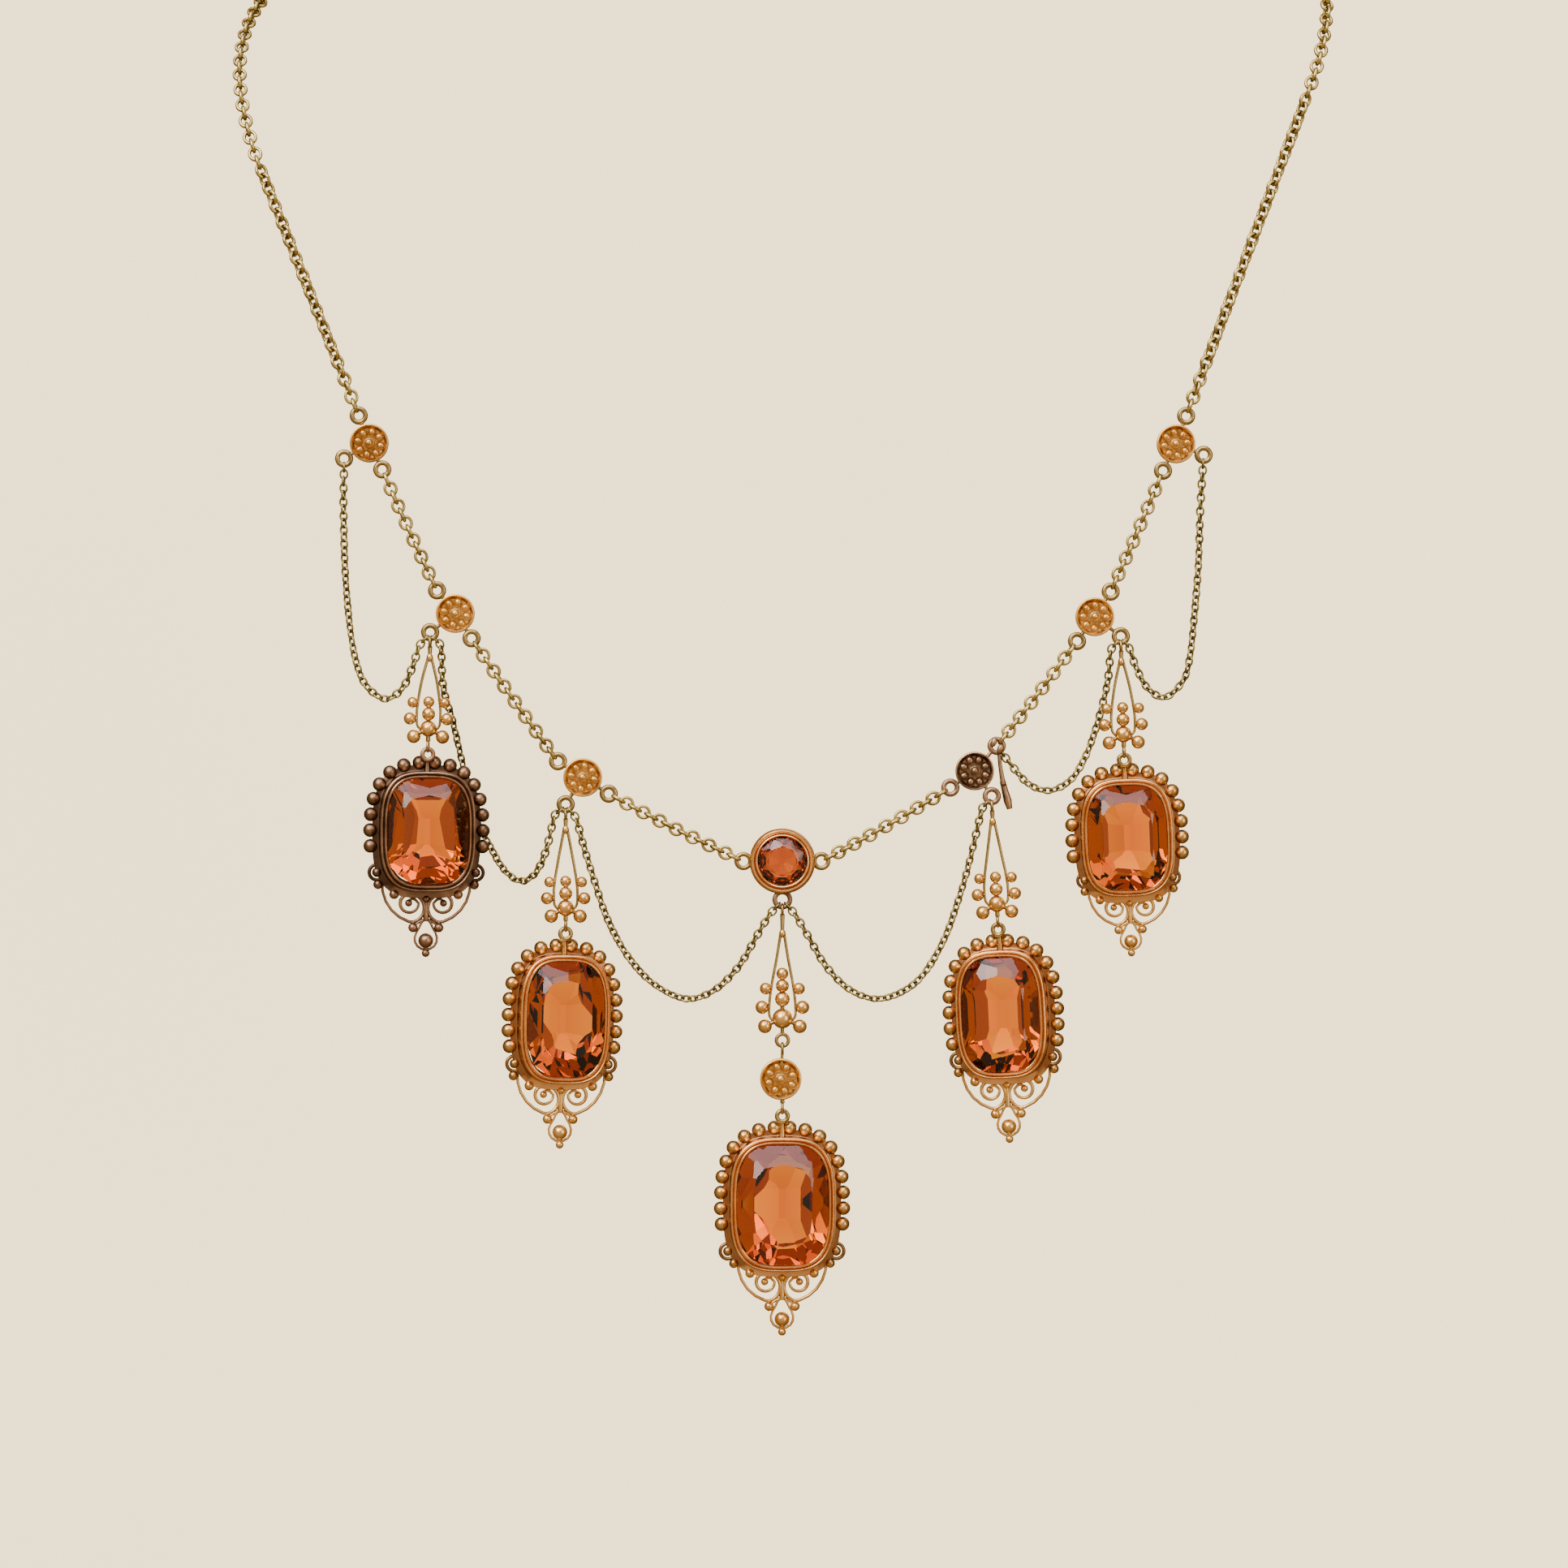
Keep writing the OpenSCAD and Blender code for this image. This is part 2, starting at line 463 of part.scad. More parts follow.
// Scrollwork, in tenths of a millimetre from the middle of the bezel's lower edge
SWEEP = [6, 9, 48.6, 175, 83];
VOLUTE_OUT = [-20, -20.5, 17.8, -78, 176];
VOLUTE_IN = [-20.5, -14.6, 11.4, 82, 290];
VOLUTE_END = [-16.6, -15.5, 6.2, 10, 150];
module scroll_arc(row, mirror_x) {
    arc([mirror_x * row[0] / 10, 0, row[1] / 10], row[2] / 10,
        mirror_x > 0 ? row[3] : 180 - row[3] - row[4], row[4], scroll_wire);
}
module scrolls(f) {
    corner = [f[HALF_W] + bezel_wall + 0.25, 2.35];
    for (side = [-1, 1]) {
        scroll_arc([-SWEEP[0], SWEEP[1], SWEEP[2], SWEEP[3], SWEEP[4]], -side);
        scroll_arc(VOLUTE_OUT, -side);
        scroll_arc(VOLUTE_IN, -side);
        scroll_arc(VOLUTE_END, -side);
        bead([side * 2.15, 0, -1.45], 0.9);
        bead([side * 1.65, 0, -3.85], scroll_wire + SOLDER * 2);
        bead([side * 1.85, 0, -0.28], scroll_wire + SOLDER * 2);
        bead([side * 5.95, 0, 0.85], 1.2);
        bead([side * 3.95, 0, -0.35], 1.2);
        ring([side * corner[X], 0, corner[Z]], [0, 1, 0], 1.9, scroll_wire);
        bead([side * corner[X], 0, corner[Z]], 0.8);
        rod([side * corner[X], 0, corner[Z]], [side * (corner[X] - 0.9), 0, corner[Z] - 0.3], scroll_wire);
        bead([side * 1.6, 0, -4.45], 1.15);
        wire_line([[side * 1.6, 0, -4.45], [side * 0.85, 0, -3.75], [side * 0.3, 0, -3.5]], scroll_wire);
        wire_line([[side * 0.35, 0, -3.5], [side * 0.75, 0, -4.4], [side * 1.25, 0, -5.2]], scroll_wire);
    }
    arc([0, 0, -5.8], 1.38, 154, 232, scroll_wire);
    rod([0, 0, -0.9], [0, 0, -3.7], 0.56);
    bead([0, 0, -0.9], 0.9);
    rod([0, 0, -0.9], [-0.9, 0, -0.1], scroll_wire);
    rod([0, 0, -0.9], [0.9, 0, -0.1], scroll_wire);
    bead([0, 0, -6.05], 1.88);
    rod([0, 0, -6.05], [0, 0, -7.6], scroll_wire * 1.4);
    bead([0, 0, -7.6], 1);
}
module frame(f) {
    half_h = f[HALF_H] + bezel_wall;
    plate_mid = PLATE_Y + PLATE / 2;
    ring([0, 0, -(frame_ring_d - frame_ring_wire) / 2], [0, 1, 0], frame_ring_d, frame_ring_wire);
    translate([0, FRAME_SHIFT, -f[DROP]]) {
        bezel(f);
        for (p = border_points(f)) for (side = [-1, 1]) bead([side * p[X], plate_mid, p[Z]], border_bead);
        translate([0, plate_mid, -half_h]) scale(f[SCROLLS]) scrolls(f);
    }
    rod([0, 0, -frame_ring_d + frame_ring_wire], [0, FRAME_SHIFT + plate_mid, half_h - f[DROP]], 0.5);
}
module cushion_citrine(f) {
    translate([0, FRAME_SHIFT, -f[DROP]]) rotate([90, 0, 0])
        stone(f[HALF_W], f[HALF_H], CUSHION, [
            [0.6, -RIM_Y + crown_height], [0.82, -RIM_Y + crown_height * 0.72],
            [1, -GIRDLE_Y - 0.02], [1, -GIRDLE_Y - 0.25],
            [0.7, -GIRDLE_Y - pavilion_depth * 0.6], [0.16, -GIRDLE_Y - pavilion_depth]]);
}

// Hinge of each drop on the ring that carries it, and of each frame on its spray
function drop_hinge(rosette, rings) = front(rosette + rings[THIRD] - [0, (ring_d - ring_wire) / 2]);
centre_hinge = front(CENTRE + [0, STAPLE_Z - (STAPLE_D - ring_wire) / 2]);
module hung(hinge, part) {
    translate(hinge) rotate([0, -part[LEAN], 0]) children();
}
module framed(hinge, spray, f) {
    hung(hinge, spray) translate([0, 0, spray[FOOT]]) rotate([0, spray[LEAN] - f[LEAN], 0])
        rotate([0, 0, f[TURN]]) children();
}

// Clasp: a plain barrel with a ring at each end
module clasp() {
    color(GOLD) {
        rotate([0, 90, 0]) cylinder(d = clasp_d, h = clasp_length - 2, center = true);
        for (side = [-1, 1]) {
            translate([side * (clasp_length / 2 - 1), 0, 0]) rotate([0, 90 * side, 0])
                cylinder(d1 = clasp_d, d2 = 1.2, h = 0.9);
            rod([side * (clasp_length / 2 - 0.2), 0, 0], [side * (clasp_length / 2 + 0.1), 0, 0], 0.6);
            ring([side * clasp_ring_x, 0, 0], [0, 1, 0], ring_d, ring_wire);
        }
        rotate([0, 90, 0]) cylinder(d = clasp_d + 0.3, h = 0.7, center = true);
    }
}

a_left_outer = ring_at(LEFT_OUTER, RINGS_LEFT_OUTER, ABOVE);
a_right_outer = ring_at(RIGHT_OUTER, RINGS_RIGHT_OUTER, ABOVE);
hinge_left_outer = drop_hinge(LEFT_MIDDLE, RINGS_LEFT_MIDDLE);
hinge_left_inner = drop_hinge(LEFT_INNER, RINGS_LEFT_INNER);
hinge_right_inner = drop_hinge(RIGHT_INNER, RINGS_RIGHT_INNER);
hinge_right_outer = drop_hinge(RIGHT_MIDDLE, RINGS_RIGHT_MIDDLE);
rosette_hinge = centre_hinge + [0, 0, SPRAY_CENTRE[FOOT]];
staple = front(CENTRE + [0, STAPLE_Z]);

module chain_back_left() {
    color(GOLD) back_chain(side_end(a_left_outer, SIDE_SLOPE_LEFT, SIDE_LINKS_LEFT), TURN_LEFT, -1);
}
module chain_back_right() {
    color(GOLD) back_chain(side_end(a_right_outer, SIDE_SLOPE_RIGHT, SIDE_LINKS_RIGHT), TURN_RIGHT, 1);
}
module chain_side_left() {
    color(GOLD) side_chain(a_left_outer, SIDE_SLOPE_LEFT, SIDE_LINKS_LEFT);
}
module chain_side_right() {
    color(GOLD) side_chain(a_right_outer, SIDE_SLOPE_RIGHT, SIDE_LINKS_RIGHT);
}
module chain_left_upper() {
    color(GOLD) chain(ring_at(LEFT_OUTER, RINGS_LEFT_OUTER, ONWARD),
        ring_at(LEFT_MIDDLE, RINGS_LEFT_MIDDLE, ABOVE));
}
module chain_left_middle() {
    color(GOLD) chain(ring_at(LEFT_MIDDLE, RINGS_LEFT_MIDDLE, ONWARD),
        ring_at(LEFT_INNER, RINGS_LEFT_INNER, ABOVE));
}
module chain_left_lower() {
    color(GOLD) chain(ring_at(LEFT_INNER, RINGS_LEFT_INNER, ONWARD), front(CENTRE + ROUND_RINGS[0]));
}
module chain_right_upper() {
    color(GOLD) chain(ring_at(RIGHT_OUTER, RINGS_RIGHT_OUTER, ONWARD),
        ring_at(RIGHT_MIDDLE, RINGS_RIGHT_MIDDLE, ABOVE));
}
module chain_right_middle() {
    color(GOLD) chain(ring_at(RIGHT_MIDDLE, RINGS_RIGHT_MIDDLE, ONWARD),
        ring_at(RIGHT_INNER, RINGS_RIGHT_INNER, ABOVE));
}
module chain_right_lower() {
    color(GOLD) chain(ring_at(RIGHT_INNER, RINGS_RIGHT_INNER, ONWARD), front(CENTRE + ROUND_RINGS[1]));
}
module swag_left_outer() {
    color(OLD_GOLD) swag(ring_at(LEFT_OUTER, RINGS_LEFT_OUTER, THIRD), WAY_LEFT_OUTER,
        ring_at(LEFT_MIDDLE, RINGS_LEFT_MIDDLE, THIRD));
}
module swag_left_middle() {
    color(OLD_GOLD) swag(ring_at(LEFT_MIDDLE, RINGS_LEFT_MIDDLE, THIRD), WAY_LEFT_MIDDLE,
        ring_at(LEFT_INNER, RINGS_LEFT_INNER, THIRD));
}
module swag_left_inner() {
    color(OLD_GOLD) swag(ring_at(LEFT_INNER, RINGS_LEFT_INNER, THIRD), WAY_LEFT_INNER, staple);
}
module swag_right_inner() {
    color(OLD_GOLD) swag(staple, WAY_RIGHT_INNER, ring_at(RIGHT_INNER, RINGS_RIGHT_INNER, THIRD));
}
module swag_right_middle() {
    color(OLD_GOLD) swag(ring_at(RIGHT_MIDDLE, RINGS_RIGHT_MIDDLE, THIRD), WAY_RIGHT_MIDDLE,
        ring_at(RIGHT_INNER, RINGS_RIGHT_INNER, ABOVE));
}
module swag_right_outer() {
    color(OLD_GOLD) swag(ring_at(RIGHT_OUTER, RINGS_RIGHT_OUTER, THIRD), WAY_RIGHT_OUTER,
        ring_at(RIGHT_MIDDLE, RINGS_RIGHT_MIDDLE, THIRD));
}
module rosette_left_outer() {
    color(GOLD) rosette(LEFT_OUTER, RINGS_LEFT_OUTER);
}
module rosette_left_middle() {
    color(GOLD) rosette(LEFT_MIDDLE, RINGS_LEFT_MIDDLE);
}
module rosette_left_inner() {
    color(GOLD) rosette(LEFT_INNER, RINGS_LEFT_INNER);
}
module rosette_right_inner() {
    color(DARK_GOLD) {
        rosette(RIGHT_INNER, RINGS_RIGHT_INNER);
        tab();
    }
}
module rosette_right_middle() {
    color(GOLD) rosette(RIGHT_MIDDLE, RINGS_RIGHT_MIDDLE);
}
module rosette_right_outer() {
    color(GOLD) rosette(RIGHT_OUTER, RINGS_RIGHT_OUTER);
}
module spray_left_outer() {
    color(GOLD) hung(hinge_left_outer, SPRAY_LEFT_OUTER) side_spray(SPRAY_LEFT_OUTER);
}
module spray_left_inner() {
    color(GOLD) hung(hinge_left_inner, SPRAY_LEFT_INNER) side_spray(SPRAY_LEFT_INNER);
}
module spray_centre() {
    color(GOLD) hung(centre_hinge, SPRAY_CENTRE) centre_spray();
}
module spray_right_inner() {
    color(GOLD) hung(hinge_right_inner, SPRAY_RIGHT_INNER) side_spray(SPRAY_RIGHT_INNER);
}
module spray_right_outer() {
    color(GOLD) hung(hinge_right_outer, SPRAY_RIGHT_OUTER) side_spray(SPRAY_RIGHT_OUTER);
}
module rosette_drop() {
    color(GOLD) translate(rosette_hinge) drop_rosette();
}
module frame_left_outer() {
    color(DARK_GOLD) framed(hinge_left_outer, SPRAY_LEFT_OUTER, FRAME_LEFT_OUTER)
        frame(FRAME_LEFT_OUTER);
}
module frame_left_inner() {
    color(ROSE_GOLD) framed(hinge_left_inner, SPRAY_LEFT_INNER, FRAME_LEFT_INNER)
        frame(FRAME_LEFT_INNER);
}
module frame_centre() {
    color(ROSE_GOLD) framed(rosette_hinge, DROP_ROSETTE, FRAME_CENTRE)
        frame(FRAME_CENTRE);
}
module frame_right_inner() {
    color(ROSE_GOLD) framed(hinge_right_inner, SPRAY_RIGHT_INNER, FRAME_RIGHT_INNER)
        frame(FRAME_RIGHT_INNER);
}
module frame_right_outer() {
    color(ROSE_GOLD) framed(hinge_right_outer, SPRAY_RIGHT_OUTER, FRAME_RIGHT_OUTER)
        frame(FRAME_RIGHT_OUTER);
}
module citrine_left_outer() {
    color(CITRINE) framed(hinge_left_outer, SPRAY_LEFT_OUTER, FRAME_LEFT_OUTER)
        cushion_citrine(FRAME_LEFT_OUTER);
}
module citrine_left_inner() {
    color(CITRINE) framed(hinge_left_inner, SPRAY_LEFT_INNER, FRAME_LEFT_INNER)
        cushion_citrine(FRAME_LEFT_INNER);
}
module citrine_centre() {
    color(CITRINE) framed(rosette_hinge, DROP_ROSETTE, FRAME_CENTRE)
        cushion_citrine(FRAME_CENTRE);
}
module citrine_right_inner() {
    color(CITRINE) framed(hinge_right_inner, SPRAY_RIGHT_INNER, FRAME_RIGHT_INNER)
        cushion_citrine(FRAME_RIGHT_INNER);
}
module citrine_right_outer() {
    color(CITRINE) framed(hinge_right_outer, SPRAY_RIGHT_OUTER, FRAME_RIGHT_OUTER)
        cushion_citrine(FRAME_RIGHT_OUTER);
}

clasp();
chain_back_left();
chain_back_right();
chain_side_left();
chain_side_right();
chain_left_upper();
chain_left_middle();
chain_left_lower();
chain_right_upper();
chain_right_middle();
chain_right_lower();
swag_left_outer();
swag_left_middle();
swag_left_inner();
swag_right_inner();
swag_right_middle();
swag_right_outer();
rosette_left_outer();
rosette_left_middle();
rosette_left_inner();
rosette_right_inner();
rosette_right_middle();
rosette_right_outer();
round_bezel();
round_citrine();
spray_left_outer();
spray_left_inner();
spray_centre();
spray_right_inner();
spray_right_outer();
rosette_drop();
frame_left_outer();
frame_left_inner();
frame_centre();
frame_right_inner();
frame_right_outer();
citrine_left_outer();
citrine_left_inner();
citrine_centre();
citrine_right_inner();
citrine_right_outer();
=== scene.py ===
"""Citrine festoon necklace, dressed for its portrait: links, flowers, wirework, settings and stones."""

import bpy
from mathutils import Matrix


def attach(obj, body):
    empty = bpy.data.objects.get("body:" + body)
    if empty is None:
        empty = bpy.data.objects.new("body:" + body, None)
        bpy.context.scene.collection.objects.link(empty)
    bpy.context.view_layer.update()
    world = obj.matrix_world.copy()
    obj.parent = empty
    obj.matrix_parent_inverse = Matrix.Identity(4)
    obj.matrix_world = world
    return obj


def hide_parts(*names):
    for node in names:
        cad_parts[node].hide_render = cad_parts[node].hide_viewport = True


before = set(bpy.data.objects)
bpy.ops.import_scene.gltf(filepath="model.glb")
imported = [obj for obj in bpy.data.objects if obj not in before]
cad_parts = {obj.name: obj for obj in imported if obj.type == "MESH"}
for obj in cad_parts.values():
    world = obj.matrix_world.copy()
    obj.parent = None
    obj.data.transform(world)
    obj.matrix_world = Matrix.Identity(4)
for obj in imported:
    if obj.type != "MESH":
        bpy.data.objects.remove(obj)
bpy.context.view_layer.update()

import logging
import math
import random
from dataclasses import dataclass, field
from enum import Enum
from typing import Callable, Sequence

import bmesh
import bpy
from mathutils import Matrix, Vector

log = logging.getLogger("necklace")
Rgb = tuple[float, float, float]
Spot = tuple[float, float]
Row = tuple[float, float, float]
Piece = bpy.types.Object
MM = 0.001
# Y of the plane in which the front chains hang
FRONT = -52.0


# The bench: one piece at a time, sizes in millimetres


class Bench:
    """The bench on which pieces are made with Blender's own tools."""

    @staticmethod
    def clear() -> None:
        """Leaves edit mode and lets go of everything."""
        active = bpy.context.view_layer.objects.active
        if active and active.mode != "OBJECT":
            bpy.ops.object.mode_set(mode="OBJECT")
        bpy.ops.object.select_all(action="DESELECT")

    @staticmethod
    def edit(name: str) -> Piece:
        """Takes the new primitive into edit mode, all of it selected.

        Args:
            name: What the piece is called.

        Returns:
            The piece, its place put into its mesh.
        """
        piece = bpy.context.object
        piece.name = piece.data.name = name
        bpy.ops.object.transform_apply(location=True, rotation=True, scale=True)
        bpy.ops.object.mode_set(mode="EDIT")
        bpy.ops.mesh.select_mode(type="VERT")
        bpy.ops.mesh.select_all(action="SELECT")
        return piece

    @staticmethod
    def finish(piece: Piece, crease: float = 40.0, caps: int = 0) -> Piece:
        """Closes seams and ends, turns the faces outward and smooths them.

        Args:
            piece: The piece in edit mode.
            crease: Edges sharper than this many degrees stay sharp.
            caps: Open ends with up to this many sides are capped.

        Returns:
            The same piece, in object mode.
        """
        bpy.ops.mesh.select_all(action="SELECT")
        bpy.ops.mesh.remove_doubles(threshold=0.0008)
        if caps:
            bpy.ops.mesh.fill_holes(sides=caps)
        bpy.ops.mesh.select_all(action="SELECT")
        bpy.ops.mesh.normals_make_consistent(inside=False)
        bpy.ops.object.mode_set(mode="OBJECT")
        bpy.ops.object.shade_smooth_by_angle(angle=math.radians(crease))
        return piece

    @staticmethod
    def pick(piece: Piece, wanted: Callable[[Vector, Vector], bool]) -> None:
        """Selects, in edit mode, the faces that are wanted and no others.

        Args:
            piece: The piece in edit mode.
            wanted: Says yes or no to a face's centre and normal.
        """
        bpy.ops.mesh.select_mode(type="FACE")
        bpy.ops.mesh.select_all(action="DESELECT")
        mesh = bmesh.from_edit_mesh(piece.data)
        for face in mesh.faces:
            face.select_set(wanted(face.calc_center_median(), face.normal))
        bmesh.update_edit_mesh(piece.data)

    @staticmethod
    def placed(part: Piece, *steps: Matrix) -> Piece:
        """Copies a part, with its own mesh, and moves the copy.

        Args:
            part: The part that is copied.
            steps: Moves, the last of them made first.

        Returns:
            The copy.
        """
        move = Matrix.Identity(4)
        for step in steps:
            move = move @ step
        copy = part.copy()
        copy.data = part.data.copy()
        copy.data.transform(move)
        if move.determinant() < 0:
            copy.data.flip_normals()
        bpy.context.scene.collection.objects.link(copy)
        return copy

    @classmethod
    def upright(cls, ring: Piece, x: float, y: float, z: float) -> Piece:
        """Returns a copy of a ring at a place, its axis turned to the front."""
        return cls.placed(ring, shift(x, y, z), turn(90, "X"))

    @classmethod
    def joined(cls, name: str, parts: Sequence[Piece]) -> Piece:
        """Solders parts into one piece.

        Args:
            name: What the piece is called.
            parts: The parts, which are used up.

        Returns:
            The piece.
        """
        cls.clear()
        for part in parts:
            part.select_set(True)
        bpy.context.view_layer.objects.active = parts[0]
        bpy.ops.object.join()
        piece = bpy.context.object
        piece.name = piece.data.name = name
        piece.select_set(False)
        return piece

    @classmethod
    def ring(cls, name: str, outer: float, wire: float, around: int, sides: int) -> Piece:
        """Bends a round wire into a ring about the Z axis.

        Args:
            name: What the ring is called.
            outer: Its outer diameter.
            wire: Diameter of the wire.
            around: Sides of the ring.
            sides: Sides of the wire.

        Returns:
            The ring.
        """
        cls.clear()
        bpy.ops.mesh.primitive_circle_add(vertices=sides, radius=wire / 2, fill_type="NOTHING",
                                          location=((outer - wire) / 2, 0, 0), rotation=(math.pi / 2, 0, 0))
        piece = cls.edit(name)
        bpy.ops.mesh.spin(steps=around, angle=math.tau, center=(0, 0, 0), axis=(0, 0, 1))
        return cls.finish(piece, 75)

    @classmethod
    def turned(cls, name: str, section: Sequence[Spot], steps: int, crease: float = 35) -> Piece:
        """Turns a section about the Y axis, as on a lathe.

        Args:
            name: What the piece is called.
            section: Radius and Y of each point of the section.
            steps: Steps of the turn.
            crease: Edges sharper than this many degrees stay sharp.

        Returns:
            The turned piece.
        """
        cls.clear()
        bpy.ops.mesh.primitive_plane_add(size=0.01, location=(section[0][0], section[0][1], 0))
        piece = cls.edit(name)
        bpy.ops.mesh.merge(type="CENTER")
        for (r0, y0), (r1, y1) in zip(section, section[1:]):
            bpy.ops.mesh.extrude_vertices_move(TRANSFORM_OT_translate={"value": (r1 - r0, y1 - y0, 0)})
        bpy.ops.mesh.select_all(action="SELECT")
        bpy.ops.mesh.spin(steps=steps, angle=math.tau, center=(0, 0, 0), axis=(0, 1, 0))
        return cls.finish(piece, crease)

    @classmethod
    def bead(cls, name: str, around: int = 16, rows: int = 10) -> Piece:
        """Makes a solid bead of diameter 1, with the small seat of solder at its back.

        Args:
            name: What the bead is called.
            around: Sides of the bead.
            rows: Rows of faces.

        Returns:
            The bead.
        """
        cls.clear()
        bpy.ops.mesh.primitive_uv_sphere_add(segments=around, ring_count=rows, radius=0.5,
                                             rotation=(math.pi / 2, 0, 0))
        piece = cls.edit(name)
        cls.pick(piece, lambda middle, normal: normal.y > 0.86)
        bpy.ops.mesh.extrude_region_move(TRANSFORM_OT_translate={"value": (0, 0.015, 0)})
        bpy.ops.transform.resize(value=(1.18, 1, 1.18), center_override=(0, 0.45, 0))
        return cls.finish(piece, 60)

    @classmethod
    def drawn(cls, name: str, way: Sequence[Vector], radii: Sequence[float], sides: int = 8) -> Piece:
        """Draws a round wire along a way in a plane that faces the front.

        Args:
            name: What the wire is called.
            way: Points of the way, all with the same Y.
            radii: Radius of the wire at each point.
            sides: Sides of the wire.

        Returns:
            The wire, its ends closed.
        """
        lines = [(b - a).normalized() for a, b in zip(way, way[1:])]
        turns = [lines[0], *[(a + b).normalized() for a, b in zip(lines, lines[1:])], lines[-1]]
        heading = [math.atan2(t.x, t.z) for t in turns]
        cls.clear()
        bpy.ops.mesh.primitive_circle_add(vertices=sides, radius=radii[0], fill_type="NOTHING",
                                          location=way[0], rotation=(0, heading[0], 0))
        piece = cls.edit(name)
        for k in range(1, len(way)):
            bpy.ops.mesh.extrude_region_move(TRANSFORM_OT_translate={"value": way[k] - way[k - 1]})
            bend = (heading[k] - heading[k - 1] + math.pi) % math.tau - math.pi
            bpy.ops.transform.rotate(value=-bend, orient_axis="Y", center_override=way[k])
            grow = radii[k] / radii[k - 1]
            bpy.ops.transform.resize(value=(grow, grow, grow), center_override=way[k])
        return cls.finish(piece, 50, sides)


def shift(x: float, y: float, z: float) -> Matrix:
    """Returns a move by x, y and z."""
    return Matrix.Translation((x, y, z))


def turn(degrees: float, axis: str) -> Matrix:
    """Returns a turn about an axis of the frame."""
    return Matrix.Rotation(math.radians(degrees), 4, axis)


def size(x: float, y: float | None = None, z: float | None = None) -> Matrix:
    """Returns a scaling, the same on all axes if only x is given."""
    return Matrix.Diagonal((x, x if y is None else y, x if z is None else z, 1))


def threaded(place: Vector, line: Vector, axis: Vector) -> Matrix:
    """Returns the move that lays a link's length along a line and its axis as near as can be to a given one.

    Args:
        place: The middle of the link.
        line: Which way the chain runs.
        axis: The axis of the link.
    """
    across = axis.cross(line).normalized()
    turned = Matrix((line, across, line.cross(across))).transposed()
    return Matrix.Translation(place) @ turned.to_4x4()


def superellipse(a: float, b: float, shape: float, degrees: float) -> tuple[float, float]:
    """Returns x and z of a point of a rounded oblong.

    Args:
        a: Half its width.
        b: Half its height.
        shape: 2 for an ellipse, more for fuller corners.
        degrees: Where the point lies.
    """
    c, s = math.cos(math.radians(degrees)), math.sin(math.radians(degrees))
    return (a * math.copysign(abs(c) ** (2 / shape), c), b * math.copysign(abs(s) ** (2 / shape), s))


def along(points: Sequence[Vector], wanted: Sequence[float]) -> list[Vector]:
    """Finds points at given lengths along a way.

    Args:
        points: The way.
        wanted: Lengths from its start.

    Returns:
        The points at those lengths.
    """
    reach = [0.0]
    for a, b in zip(points, points[1:]):
        reach.append(reach[-1] + (b - a).length)
    found = []
    k = 0
    for length in wanted:
        while k < len(points) - 2 and reach[k + 1] < length:
            k += 1
        part = (length - reach[k]) / max(reach[k + 1] - reach[k], 1e-9)
        found.append(points[k].lerp(points[k + 1], min(max(part, 0), 1)))
    return found


def span(points: Sequence[Vector]) -> float:
    """Returns the length of a way."""
    return sum((b - a).length for a, b in zip(points, points[1:]))


def run(points: Sequence[Vector], k: int) -> Vector:
    """Returns the step from the point before a way's k-th one to the point after it."""
    return points[min(k + 1, len(points) - 1)] - points[max(k - 1, 0)]


def smooth(knots: Sequence[Vector], steps: int) -> list[Vector]:
    """Draws a smooth way through knots.

    Args:
        knots: The places that it passes.
        steps: Points from each knot to the next.

    Returns:
        The points of the way.
    """
    way = []
    for k in range(len(knots) - 1):
        p, q, r, s = knots[max(k - 1, 0)], knots[k], knots[k + 1], knots[min(k + 2, len(knots) - 1)]
        for j in range(steps):
            t = j / steps
            way.append((2 * q + (r - p) * t + (2 * p - 5 * q + 4 * r - s) * t * t
                        + (3 * q - p - 3 * r + s) * t**3) / 2)
    way.append(knots[-1])
    return way


# Finishes


